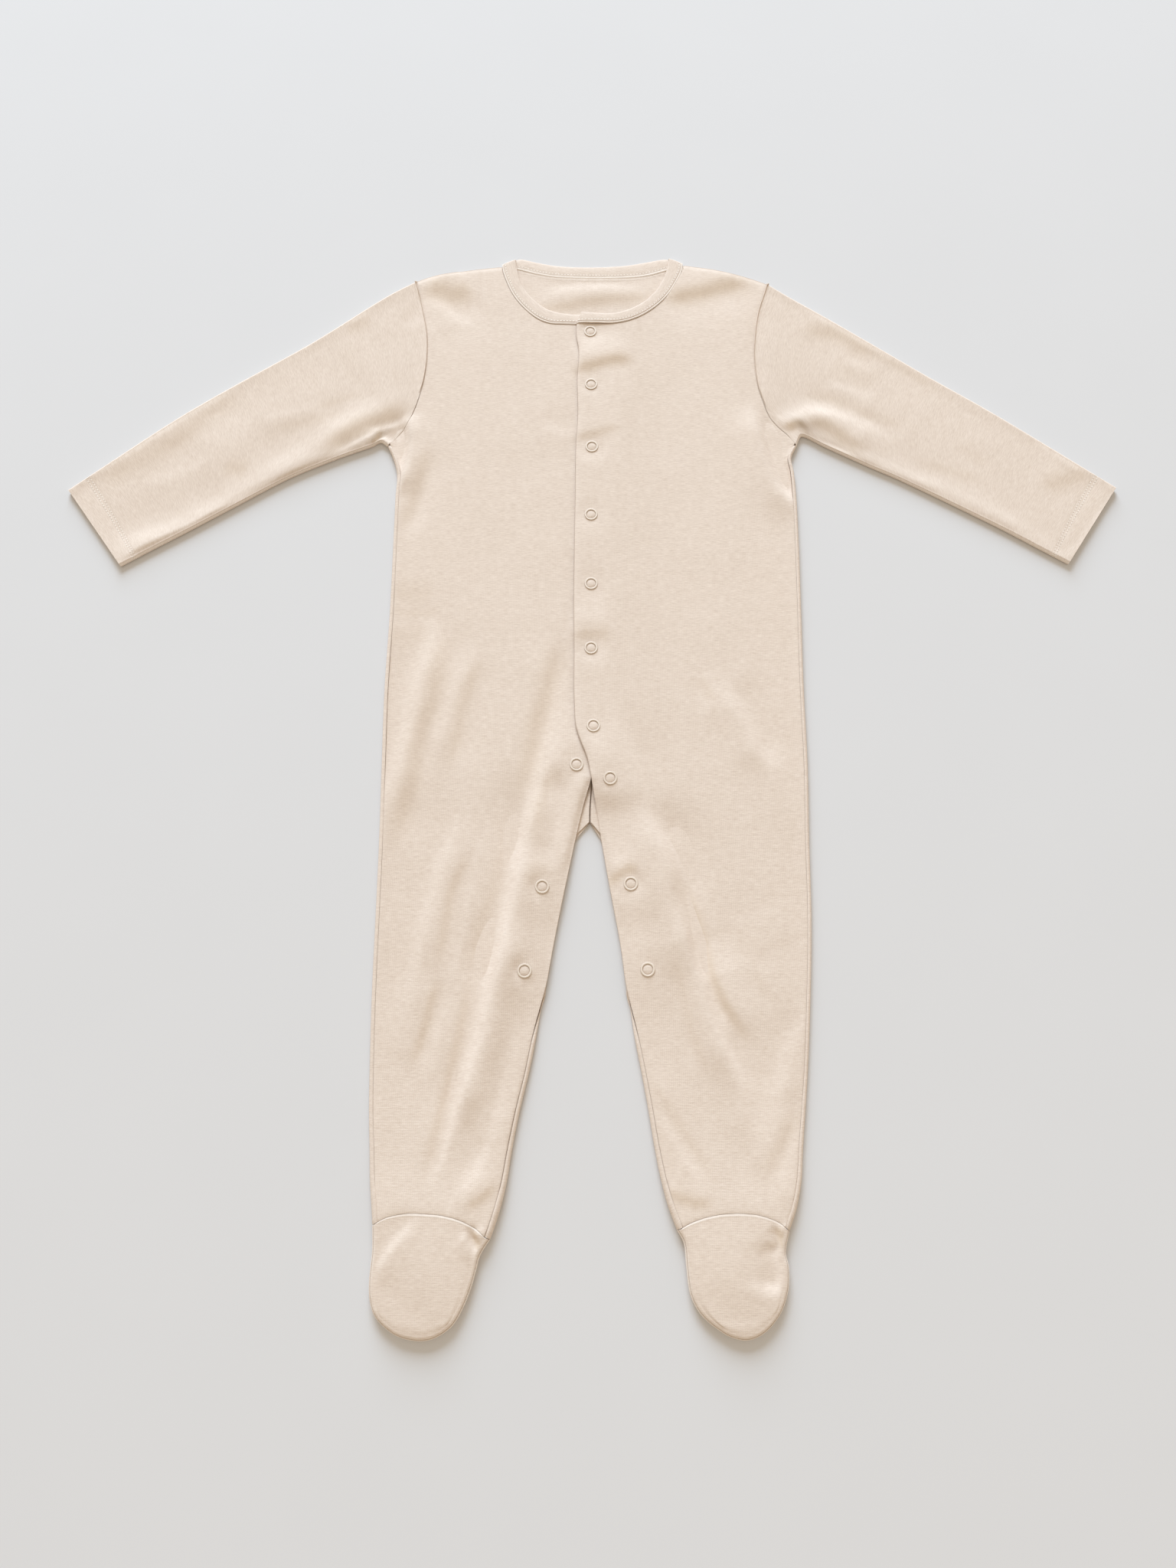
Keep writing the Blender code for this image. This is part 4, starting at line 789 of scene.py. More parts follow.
def knitGroup():
    # fine jersey: V-shaped stitches, uneven yarn and a little surface fuzz
    plan = knitPlan
    group, given, out = newGroup(
        "knit",
        [("Vector", "NodeSocketVector", (0, 0, 0)), ("Stitch", "NodeSocketFloat", plan["stitch"]),
         ("Melange", "NodeSocketFloat", 1.0)],
        ["Shade", "Height", "Fuzz"])
    calc = partial(mathNode, group)
    place = given["Vector"]
    scale = calc("DIVIDE", 1.0, calc("MULTIPLY", given["Stitch"], mm))
    wale = node(group, "ShaderNodeVectorMath", {0: place, "Scale": scale}, operation="SCALE").outputs[0]
    split = node(group, "ShaderNodeSeparateXYZ", {0: wale}).outputs
    column = calc("PINGPONG", split["X"], 0.5)
    slant = calc("ADD", *[calc("MULTIPLY", *part) for part in zip((split["Y"], column), plan["slant"])])
    leg = calc("PINGPONG", slant, 0.5)
    stitch = calc("MULTIPLY", calc("POWER", calc("MULTIPLY", leg, 2.0), plan["legRound"]),
                  calc("POWER", calc("MULTIPLY", column, 2.0), plan["waleRound"]))
    yarn = speckle(group, place, plan["yarn"], 3.0, 0.6)
    clouds = speckle(group, place, plan["clouds"], 4.0, 0.55)
    fuzz = speckle(group, place, plan["fuzz"], 2.0, 0.7)
    shade = calc("MULTIPLY", calc("SUBTRACT", yarn, 0.5), given["Melange"])
    for pattern, amount in ((clouds, plan["cloudShade"]), (stitch, plan["stitchShade"])):
        shade = calc("ADD", shade, calc("MULTIPLY", calc("SUBTRACT", pattern, 0.5), amount))
    height = calc("ADD", stitch, calc("MULTIPLY", fuzz, plan["fuzzHeight"]))
    height = calc("ADD", height, calc("MULTIPLY", yarn, plan["yarnHeight"]))
    plug(group, out, {"Shade": shade, "Height": height, "Fuzz": fuzz})
    return group


stitchPlan = {
    "place": 3.0,            # from the edge, where no other distance is given
    "pitch": 2.4,
    "halfWidth": 0.42,
    "hole": 0.35,            # share of the pitch between two stitches
    "sideEdge": 1.8,         # how sharply a stitch ends at its sides, at its ends and at its holes
    "threadEdge": 4.0,
    "holeEdge": 5.0,
}


def stitchGroup():
    # a row of stitching along U at a distance along V, both in millimetres
    plan = stitchPlan
    group, given, out = newGroup(
        "stitchLine",
        [("Vector", "NodeSocketVector", (0, 0, 0)), ("Place", "NodeSocketFloat", plan["place"]),
         ("Pitch", "NodeSocketFloat", plan["pitch"])],
        ["Thread", "Hole"])
    calc = partial(mathNode, group)
    split = node(group, "ShaderNodeSeparateXYZ", {0: given["Vector"]}).outputs
    away = calc("SUBTRACT", calc("DIVIDE", split["Y"], mm), given["Place"])
    near = calc("ADD", calc("DIVIDE", calc("ABSOLUTE", away), -plan["halfWidth"]), 1.0)
    near = calc("MULTIPLY", near, plan["sideEdge"], True)
    along = calc("DIVIDE", calc("DIVIDE", split["X"], mm), given["Pitch"])
    wave = calc("MULTIPLY", calc("PINGPONG", along, 0.5), 2.0)
    thread = calc("MULTIPLY", calc("SUBTRACT", wave, plan["hole"]), plan["threadEdge"], True)
    hole = calc("MULTIPLY", calc("SUBTRACT", plan["hole"], wave), plan["holeEdge"], True)
    plug(group, out, {"Thread": calc("MULTIPLY", thread, near), "Hole": calc("MULTIPLY", hole, near)})
    return group


clothLook = {
    "light": (0.883, 0.770, 0.666),
    "deep": (0.715, 0.594, 0.490),
    # colour of the painted warm shade in the darker creases
    "warm": (0.73, 0.560, 0.360),      # in creases
    # pale of stitching thread, also of pale edge lines, some of them painted highlights
    "thread": (0.97, 0.905, 0.825),
    # dark of seam lines and stitch holes, also of painted shade in gaps, the crotch slit and the armpit
    # hollows
    "seam": (0.24, 0.145, 0.080),
    "roughness": 0.80,
    "fuzzRoughness": 0.12,
    "stitch": 0.8,
    "melange": 1.25,
    "contrast": 1.7,         # of the yarn's shades
    "middle": 0.6,           # 0 is deep and 1 is light
    # of each row of stitching
    "threadPale": 0.7,
    "threadHeight": 1.2,
    "holeDark": 0.4,
    "sheen": 0.08,
    "sheenRoughness": 0.6,
    "sheenTint": (1.0, 0.96, 0.9, 1),
    "specular": 0.2,
    "bump": 0.6,
    "depth": 0.00016,
}


def clothMaterial(name, knit, stitches, look, stitchRows=()):
    made, tree, shader = newMaterial(name)
    calc = partial(mathNode, tree)
    place = node(tree, "ShaderNodeTexCoord", {}).outputs["UV"]
    inputs = {"Vector": place, "Stitch": look["stitch"], "Melange": look["melange"]}
    knitted = node(tree, "ShaderNodeGroup", inputs, node_tree=knit).outputs
    shade = calc("ADD", calc("MULTIPLY", knitted["Shade"], look["contrast"]), look["middle"])
    colour = mixColours(tree, shade, look["deep"], look["light"])
    # painted warm shade in creases, then pale edges (partly painted highlights) and dark seam lines (partly
    # painted contact shade), then rows of stitching
    colour = mixColours(tree, attribute(tree, "warm"), colour, look["warm"])
    line = attribute(tree, "line")
    pale = calc("MULTIPLY", line, -1.0, True)
    dark = calc("MULTIPLY", line, 1.0, True)
    height = knitted["Height"]
    for distance in stitchRows:
        row = node(tree, "ShaderNodeGroup", {"Vector": place, "Place": distance}, node_tree=stitches).outputs
        pale = calc("ADD", pale, calc("MULTIPLY", row["Thread"], look["threadPale"]), True)
        dark = calc("ADD", dark, calc("MULTIPLY", row["Hole"], look["holeDark"]), True)
        height = calc("ADD", height, calc("MULTIPLY", row["Thread"], look["threadHeight"]))
    colour = mixColours(tree, pale, colour, look["thread"])
    raised = {"Strength": look["bump"], "Distance": look["depth"], "Height": height}
    bump = node(tree, "ShaderNodeBump", raised)
    plug(tree, shader, {
        "Base Color": mixColours(tree, dark, colour, look["seam"]),
        "Roughness": calc("ADD", look["roughness"], calc("MULTIPLY", knitted["Fuzz"], look["fuzzRoughness"])),
        "Normal": bump.outputs[0],
        "Sheen Weight": look["sheen"],
        "Sheen Roughness": look["sheenRoughness"],
        "Sheen Tint": look["sheenTint"],
        "Specular IOR Level": look["specular"],
    })
    return made


snapLook = {
    "light": (0.86, 0.76, 0.65),
    "deep": (0.79, 0.685, 0.57),
    # dark of the painted contact shade along the rings' edges and round the domes
    "rim": clothLook["seam"],
    "mottle": (700.0, 700.0, 700.0),     # repeats per metre
    "roughness": 0.47,
    "wear": 0.16,
    "bump": 0.25,
    "depth": 0.00005,
    "coat": 0.1,
    "coatRoughness": 0.35,
}


def snapMaterial(name, look):
    # enamelled metal with faint wear in its roughness, and painted contact shade along its rims
    made, tree, shader = newMaterial(name)
    place = node(tree, "ShaderNodeTexCoord", {}).outputs["Object"]
    mottled = speckle(tree, place, look["mottle"], 3.0)
    colour = mixColours(tree, mottled, look["deep"], look["light"])
    worn = mathNode(tree, "MULTIPLY", mottled, look["wear"])
    raised = {"Strength": look["bump"], "Distance": look["depth"], "Height": mottled}
    bump = node(tree, "ShaderNodeBump", raised)
    plug(tree, shader, {
        "Base Color": mixColours(tree, attribute(tree, "line"), colour, look["rim"]),
        "Roughness": mathNode(tree, "ADD", look["roughness"], worn),
        "Normal": bump.outputs[0],
        "Coat Weight": look["coat"],
        "Coat Roughness": look["coatRoughness"],
    })
    return made


knit = knitGroup()
stitches = stitchGroup()
bodyCloth = clothMaterial("knittedCloth", knit, stitches, clothLook)
sleeveCloth = clothMaterial("sleeveCloth", knit, stitches, clothLook, (13.2, 15.4))
bandCloth = clothMaterial("bandCloth", knit, stitches, clothLook, (3.0,))
snapFinish = snapMaterial("snapEnamel", snapLook)
print("materials made")


frontPlan = {
    "columns": 66,
    "rowStep": 2.7,
    "chestRows": 60,
    "ankleRows": 10,
    "parts": 5,              # of each step of the neck's table
    "shoulderDrop": (0.7, 2.4),          # depth, reach
    # how dark the line along each seam and edge is: seam lines with painted contact shade, and only painted
    # contact shade along the placket and the open leg edges
    "sideMark": 0.08,
    "armholeMark": 0.26,
    "ankleMark": 0.25,
    "neckMark": 0.2,
    "shoulderMark": 0.45,
    "legEdgeMark": 0.25,
    "placketMark": 0.6,
}


def heelEnd(sign, inner):
    # an end of the heel seam: place on the outline, directions inward and up it
    place = edgeOf("ankle", sign)[-1 if inner else 0]
    below = edgeOf("foot", sign)[-2 if inner else 1]
    high = place[1] + footPlan["heelReach"]
    above = np.array([inseam(sign, high) if inner else side(sign, high), high])
    up = (above - below) / np.linalg.norm(above - below)
    inward = np.array([up[1], -up[0]])
    inward = inward * (1 if inner == (sign > 0) else -1) + up * (0.0 if inner else 0.4)
    return place, inward / np.linalg.norm(inward), up


def ankleLine(sign):
    line = stations(edgeOf("ankle", sign), 7)
    for inner, end in ((False, 0), (True, -1)):
        place, inward = heelEnd(sign, inner)[:2]
        line[end] = place + inward * (seamInset(place[1]) + cloth["seamGap"])
    return stations(line, 70)


def armholeLine(sign):
    return stations(edgeOf("armhole", sign), 63)


def neckSeam(sign):
    return stations(pairs(outline["frontBand"], 0 if sign < 0 else 4)[::-1], 9 * frontPlan["parts"])


def frontEnds(sign, y):
    # x of a straight row's side seam and of its inner edge
    inner = np.where(y < legPlan["crossing"], inseam(sign, y) + sign * innerInset(y),
                     follow(outline["placket"], y, 1 if sign > 0 else 2))
    return side(sign, y) - sign * (seamInset(y) + cloth["seamGap"]), inner


def frontPoints(sign):
    halfGap = cloth["seamGap"] / 2
    us = spread(frontPlan["columns"], 140.0)
    count = int(round((legPlan["armpit"] - legPlan["ankleTop"]) / frontPlan["rowStep"]))
    ys = np.linspace(legPlan["ankleTop"], legPlan["armpit"], count + 1)
    outer, inner = frontEnds(sign, ys)
    body = np.dstack((outer[:, None] + (inner - outer)[:, None] * us, np.repeat(ys[:, None], len(us), 1)))
    # from the curved ankle seam up to the first straight row
    seam = at(sideways(ankleLine(sign), -sign * halfGap), us)
    outer, inner = frontEnds(sign, seam[:, 1])
    shift = seam[:, 0] - outer - (inner - outer) * us
    low = []
    for share in spread(frontPlan["ankleRows"], 24.0, (0.25, 0.6, 1.4))[:-4]:
        y = seam[:, 1] + (legPlan["ankleTop"] - seam[:, 1]) * share
        outer, inner = frontEnds(sign, y)
        low.append(np.column_stack((outer + (inner - outer) * us + shift * (1 - share), y)))
    low = np.array(low)
    # chest
    shoulder = stations(edgeOf("shoulder", sign), 5 * frontPlan["parts"])
    top = np.vstack((shoulder[:-1], sideways(neckSeam(sign), sign * halfGap)))
    left = sideways(armholeLine(sign), sign * halfGap)
    left[0] = body[-1, 0]
    top[0] = left[-1]
    right = between(body[-1, -1], top[-1], 64)
    right[1:-1, 0] = follow(outline["placket"], right[1:-1, 1], 1 if sign > 0 else 2)
    vs = spread(frontPlan["chestRows"], 130.0)
    chest = patch(between(body[-1, 0], body[-1, -1], 100), top, left, right, us, vs[1:])
    return np.concatenate((low, body, chest))


def makeFront(name, sign, solid):
    look = frontPlan
    plan = frontPoints(sign)
    x, y = plan[..., 0], plan[..., 1]
    z = frontHeight(x, y)
    if sign > 0:
        z = z + placketLift(x, y)
    fromOuter, fromInner = gap(plan, plan[:, :1]), gap(plan, plan[:, -1:])
    fromTop, fromAnkle = gap(plan, plan[-1:]), gap(plan, plan[:1])
    z = z - seamDip(fromOuter) - seamDip(fromAnkle, 0.2) - innerCurl(y) * seamDip(fromInner)
    # the shoulder turns down to its seam, the neck is only drawn in
    atShoulder = ease((np.abs(plan[-1:, :, 0]) - 70.0) / 3.0)
    drop, reach = look["shoulderDrop"]
    z = z - atShoulder * drop * bell(fromTop, reach) - (1 - atShoulder) * seamDip(fromTop, 0.08)
    # dark lines along seams and edges, partly painted contact shade
    marks = seamAndShadeMark(fromOuter) * np.where(y > legPlan["armpit"], look["armholeMark"], look["sideMark"])
    marks += look["ankleMark"] * seamAndShadeMark(fromAnkle)
    marks += (look["neckMark"] + (look["shoulderMark"] - look["neckMark"]) * atShoulder) * seamAndShadeMark(fromTop)
    marks += seamAndShadeMark(fromInner) * np.where(y < legPlan["crossing"], look["legEdgeMark"], look["placketMark"])
    bm = bmesh.new()
    # painted warm shade in the darker creases, none under the snaps
    addSheet(bm, np.dstack((x, y, z)), plan, marks, creaseShape(x, y)[1] * snapCalm(x, y))
    faceOut(bm, (0, 0, 1))
    return giveWall(makeObject(name, bm, bodyCloth, [solid]))


frontRight = makeFront("frontRight", -1, "front_right")
frontLeft = makeFront("frontLeft", 1, "front_left")
print("fronts made")


backPlan = {
    "rollSteps": 9,
    "legColumns": 22,        # of each leg between its rolled edges
    "rowStep": 3.4,
    "chestRows": 46,
    "lift": 0.55,            # how far the underside leaves the floor along folds
    "neckLift": 0.42,        # brings the cloth level with the neckband behind
    "notch": -83.0,          # the legs' inner edges meet between here and the crotch
    "slit": 0.4,             # half width of the slit in the open crotch
    # hollows of the underside
    "calm": (4.0, 14.0),     # flat this far in from an edge, full after the second
    "foldShare": 0.3,
    "rumpleShare": 1.4,
    "neckStart": (338.0, 8.0),           # none above here, and over how far they fade
    "neckReach": 60.0,
    # the back's inside below its neckband: y and fade at both ends, half width, level
    "neckInside": ((334.0, 6.0), (376.0, 4.0)),
    "neckHalf": 52.0,
    "neckLevel": 0.6,
    # marks beside the neckband: how dark, place, reach
    "neckMarks": [(-0.5, 0.9, 0.5), (0.3, 1.9, 0.4)],
    "neckLiftReach": (6.0, 62.0),        # along Y and X
    "creaseShadeShare": 0.8,
}


def rollProfile(height, curl):
    # section of a rolled edge from the floor round to the seam: in from the outline, z, run
    radius = height / 2
    angles = -math.pi / 2 + math.pi * np.linspace(0, 1, backPlan["rollSteps"] + 1)
    inward = np.append(radius - radius * np.cos(angles), radius + cloth["seamLand"])
    z = np.append(radius + radius * np.sin(angles), height - 0.3)
    run = np.append(radius * (angles + math.pi / 2), radius * math.pi + cloth["seamLand"])
    share = 1 - np.linspace(0, 1, len(z))
    return curl * inward + (1 - curl) * radius * share, curl * z, run


def underside(x, y):
    # shallow hollows of the cloth that lies on the floor, none at its edges
    plan = backPlan
    flat, run = plan["calm"]
    inner = ease((fromInseam(x, y) - flat) / run)
    settled = ease((fromSide(x, y) - flat) / run) * np.where(y < legPlan["crossing"], inner, 1.0)
    soft = np.clip(foldHeight(x, y) * plan["foldShare"], 0.0, 1.0)
    soft = soft + np.clip(rumple(x, y, "back"), 0.0, 1.0) * plan["rumpleShare"]
    neckY, neckRun = plan["neckStart"]
    neck = ease((y - neckY) / neckRun) * bell(x, plan["neckReach"])
    return plan["lift"] * soft * settled * (1 - neck)


slitPlan = {
    "lean": (-66.0, 24.0, 1.2),          # from this y over this run it goes this far aside
    "bottom": (-75.0, 2.0),              # y and how quickly it ends
    "top": (-30.0, 6.0),
    "dark": 0.8,
    "shade": (-1.6, -46.0, 2.2, 3.5, 0.15),          # round the slit: x, y, stretch, reach, how dark
}


def slitPlace(y):
    # the slit leans a little: distance is measured from here
    start, run, aside = slitPlan["lean"]
    return legPlan["crotchX"] + aside * ease((y - start) / run)


# painted shadow in the slit where the back shows between the crotch facings, and painted shade round it
def crotchSlitShade(x, y):
    half = backPlan["slit"]
    (bottom, bottomRun), (top, topRun) = slitPlan["bottom"], slitPlan["top"]
    inSlit = ease((y - bottom) / bottomRun) * ease((top - y) / topRun)
    slit = 1 - ease((np.abs(x - slitPlace(y)) - 0.5 * half) / half)
    shadeX, shadeY, stretch, reach, dark = slitPlan["shade"]
    shade = dark * bell(np.hypot(x - shadeX, (y - shadeY) / stretch), reach)
    return inSlit * np.maximum(slitPlan["dark"] * slit, shade)


def neckShading(x, y):
    # creases inside the back below its neckband
    (bottom, bottomRun), (top, topRun) = backPlan["neckInside"]
    inNeck = ease((y - bottom) / bottomRun) * ease((top - y) / topRun) * bell(x, backPlan["neckHalf"])
    return inNeck * np.maximum(backPlan["neckLevel"] + creaseShape(x, y)[0], 0.0)


def backFace(x, y):
    return underside(x, y) + neckShading(x, y)


def legEnds(sign):
    # both ends of each row of a back leg: place on the outline and direction inward
    top, rows = legPlan["ankleTop"], []
    for share in np.linspace(0, 1, 9)[:-1]:
        ends = []
        for inner in (False, True):
            place, inward, up = heelEnd(sign, inner)
            edge = inseam if inner else side
            y = place[1] + (top - place[1]) * share
            spot = np.array([edge(sign, y) + (place[0] - edge(sign, place[1])) * (1 - share), y])
            if share == 0:
                spot = spot + up * cloth["seamGap"] / 2
            straight = np.array([sign if inner else -sign, 0.0])
            direction = inward * (1 - share) + straight * share
            ends.append((spot, direction / np.linalg.norm(direction)))
        rows.append(ends)
    crotch, notch = legPlan["crotchY"], backPlan["notch"]
    count = int(round((crotch - top) / backPlan["rowStep"]))
    for y in np.linspace(top, crotch, count + 1):
        t = max((y - notch) / (crotch - notch), 0.0)
        innerX = inseam(sign, min(y, notch)) * (1 - t) + legPlan["crotchX"] * t
        rows.append([(np.array([side(sign, y), y]), np.array([-sign, 0.0])),
                     (np.array([innerX, y]), np.array([sign, 0.0]))])
    return rows


def backLeg(sign):
    points, cut = [], []
    for ends in legEnds(sign):
        curl = innerCurl(ends[1][0][1])
        strips, runs = [], []
        for (place, inward), turned in zip(ends, (1.0, curl)):
            depth, z, run = rollProfile(edgeHeight(place[1]), turned)
            spots = place + inward * depth[:, None]
            strips.append(np.column_stack((spots, z)))
            runs.append(spots[0] - inward * run[:, None])
        middle = between(strips[0][0], strips[1][0], backPlan["legColumns"] + 1)[1:-1]
        points.append(np.vstack((strips[0][::-1], middle, strips[1])))
        cut.append(np.vstack((runs[0][::-1], middle[:, :2], runs[1])))
    return np.array(points), np.array(cut)


def backTorso(crotch, crotchCut, shares):
    # rows from the crotch up to the armpits, and the same laid flat
    rows, cuts = [crotch], [crotchCut]
    count = int(round((legPlan["armpit"] - legPlan["crotchY"]) / backPlan["rowStep"]))
    for y in np.linspace(legPlan["crotchY"], legPlan["armpit"], count + 1)[1:]:
        depth, z, run = rollProfile(edgeHeight(y), 1.0)
        strips, runs = [], []
        for sign in (-1, 1):
            x = side(sign, y)
            strips.append(np.column_stack((x - sign * depth, np.full(len(z), y), z)))
            runs.append(np.column_stack((x - sign * (depth[0] - run), np.full(len(z), y))))
        x = strips[0][0, 0] + (strips[1][0, 0] - strips[0][0, 0]) * shares[1:-1]
        middle = np.column_stack((x, np.full(len(x), y), np.zeros(len(x))))
        rows.append(np.vstack((strips[0][::-1], middle, strips[1])))
        cuts.append(np.vstack((runs[0][::-1], middle[:, :2], runs[1])))
    return np.array(rows), np.array(cuts)


def backChest(flat, shares):
    halfGap = cloth["seamGap"] / 2
    shoulders = [stations(edgeOf("shoulder", sign), 16) for sign in (-1, 1)]
    neck = sideways(stations(pairs(outline["backBand"], 0), 60), -halfGap)
    top = np.vstack((shoulders[0][:-1], neck, shoulders[1][::-1][1:]))
    left, right = sideways(armholeLine(-1), -halfGap), sideways(armholeLine(1), halfGap)
    left[0], right[0] = flat[0], flat[-1]
    top[0], top[-1] = left[-1], right[-1]
    vs = spread(backPlan["chestRows"], 150.0)
    return patch(between(flat[0], flat[-1], 100), top, left, right, shares, vs)


def makeBack():
    legs = [backLeg(sign) for sign in (-1, 1)]
    strip = backPlan["rollSteps"] + 1
    crotch, crotchCut = [np.vstack((left[-1], right[-1][::-1][1:])) for left, right in zip(*legs)]
    inside = crotch[strip:-strip, 0]
    shares = (inside - inside[0]) / (inside[-1] - inside[0])
    torso = backTorso(crotch, crotchCut, shares)
    bm = bmesh.new()
    for points, cut in [*legs, torso]:
        x, y, z = points[..., 0], points[..., 1], points[..., 2]
        inner = z < 0.001
        raised = np.dstack((x, y, z + np.where(inner, backFace(x, y), 0.0)))
        # painted shadow in the crotch slit on the back's inner face
        addSheet(bm, raised, cut, np.where(inner, crotchSlitShade(x, y), 0.0))
    chest = backChest(torso[0][-1, strip:-strip, :2], shares)
    x, y = chest[..., 0], chest[..., 1]
    fromNeck = gap(chest, chest[-1:])
    rim = np.minimum(np.minimum(gap(chest, chest[:, :1]), gap(chest, chest[:, -1:])), fromNeck)
    z = np.maximum(backFace(x, y) * ease(rim / 8.0), neckShading(x, y))
    reachY, reachX = backPlan["neckLiftReach"]
    z = np.maximum(z, backPlan["neckLift"] * bell(fromNeck, reachY) * bell(x, reachX))
    z[0] = backFace(x[0], y[0])
    marks = sum(amount * bell(fromNeck - where, reach) for amount, where, reach in backPlan["neckMarks"])
    # painted warm shade in the darker creases
    paintedCreaseShade = backPlan["creaseShadeShare"] * creaseShape(x, y)[1]
    addSheet(bm, np.dstack((x, y, z)), chest, marks, paintedCreaseShade)
    bmesh.ops.remove_doubles(bm, verts=bm.verts, dist=0.02)
    faceOut(bm, (0, 0, -1))
    return giveWall(makeObject("backPanel", bm, bodyCloth, ["back"]))


facingPlan = {
    "thick": 0.5,
    "top": -36.0,
    "innerLength": 34.6,
    "outerLength": 46.0,
    "underlap": 2.2,         # below the front's edge
    "level": 1.72,
    "lift": 0.5,             # of the edges beside the slit, lower down
    "liftFrom": (-44.0, 9.0),            # y and run
    "round": 0.12,
    "rows": 12,
    "length": 40.0,
    "shares": (0.0, 0.04, 0.09, 0.18, 0.32, 0.5, 0.7, 0.85, 1.0),      # places across a band
    "slitMark": 0.4,
    "endMark": 0.3,
    "shade": (-1.0, -44.0, 2.4, 3.6, 0.1),           # round the slit: x, y, stretch, reach, how dark
}


def makeFacings():
    # the two bands of the open crotch, side by side between the fronts
    plan = facingPlan
    shares = np.array(plan["shares"])
    liftY, liftRun = plan["liftFrom"]
    shadeX, shadeY, stretch, reach, dark = plan["shade"]
    bm = bmesh.new()
    for sign in (-1, 1):
        points, marks = [], []
        for t in spread(plan["rows"], plan["length"]):
            innerY, outerY = plan["top"] - plan["innerLength"] * t, plan["top"] - plan["outerLength"] * t
            innerX = slitPlace(innerY) + sign * backPlan["slit"]
            outerX = inseam(sign, outerY) + sign * plan["underlap"]
            x = innerX + (outerX - innerX) * shares
            y = innerY + (outerY - innerY) * shares
            lift = plan["lift"] * ease((liftY - innerY) / liftRun)
            points.append(np.column_stack((x, y, plan["level"] + lift * (1 - ease(shares / 0.6)))))
            # painted shadow along the slit and at the facings' lower ends, painted shade round the slit
            marks.append(plan["slitMark"] * seamAndShadeMark((x - innerX) * sign)
                         + plan["endMark"] * seamAndShadeMark((1 - t) * plan["length"])
                         + dark * bell(np.hypot(x - shadeX, (y - shadeY) / stretch), reach))
        points, marks = np.array(points), np.array(marks)
        if sign < 0:
            points, marks = points[:, ::-1], marks[:, ::-1]
        addSheet(bm, points, points[..., :2], marks)
    faceOut(bm, (0, 0, 1))
    return giveWall(makeObject("crotchFacings", bm, bodyCloth), plan["thick"], plan["round"])


backPanel = makeBack()
crotchFacings = makeFacings()
print("back made")


sleevePlan = {
    "edge": 3.8,             # height of the rolled edges
    "top": 3.3,              # height between folds
    "length": 220.0,         # along the overarm, for the spacing of the rows
    "samples": 250,
    "rows": 104,
    "columns": 48,
    "near": (1.8, 2.1, 2.4, 2.7, 3.2, 4.2, 6.0),
    "rollSteps": 12,
    "corner": 0.9,           # extra gap at the shoulder
    "foldClear": 10.0,       # folds and creases fade out over these beside the rolled edges
    "creaseClear": 4.0,
    "underRise": 0.8,
    "underClear": 5.0,
    "seamAndShadeMark": 0.26,
    "seamEdge": (-0.2, 1.0, 0.4),        # pale line beside the armhole: tone, place, reach
    "rumple": 0.28,
    "underarmSeam": (1.2, 0.12, 0.35),   # in from the lower edge, depth, half width
    "rollMark": 0.3,         # how dark the underarm seam is
    "rollEdge": (-0.7, 0.45, 0.4),       # pale line beside it: tone, place, reach
    "hem": (14.0, 0.35, 1.3),            # in from the cuff, depth, half width
    # painted shade in the armpit hollows: x, y, reach, how dark
    "pockets": [(158.5, 240.0, 3.4, 0.34), (162.5, 236.0, 3.0, 0.22), (168.0, 240.0, 8.0, 0.07),
                (-162.0, 232.0, 3.0, 0.20)],
}


def sleevePlace(seam, cuff, upper, lower, along, across):
    # points across a sleeve at a share of its length, where its edges are upper and lower
    ends = (1 - along) * at(seam, across) + along * at(cuff, across)
    sides = (1 - across)[:, None] * upper + across[:, None] * lower
    corners = ((1 - across)[:, None] * ((1 - along) * seam[0] + along * cuff[0])
               + across[:, None] * ((1 - along) * seam[-1] + along * cuff[-1]))
    return ends + sides - corners


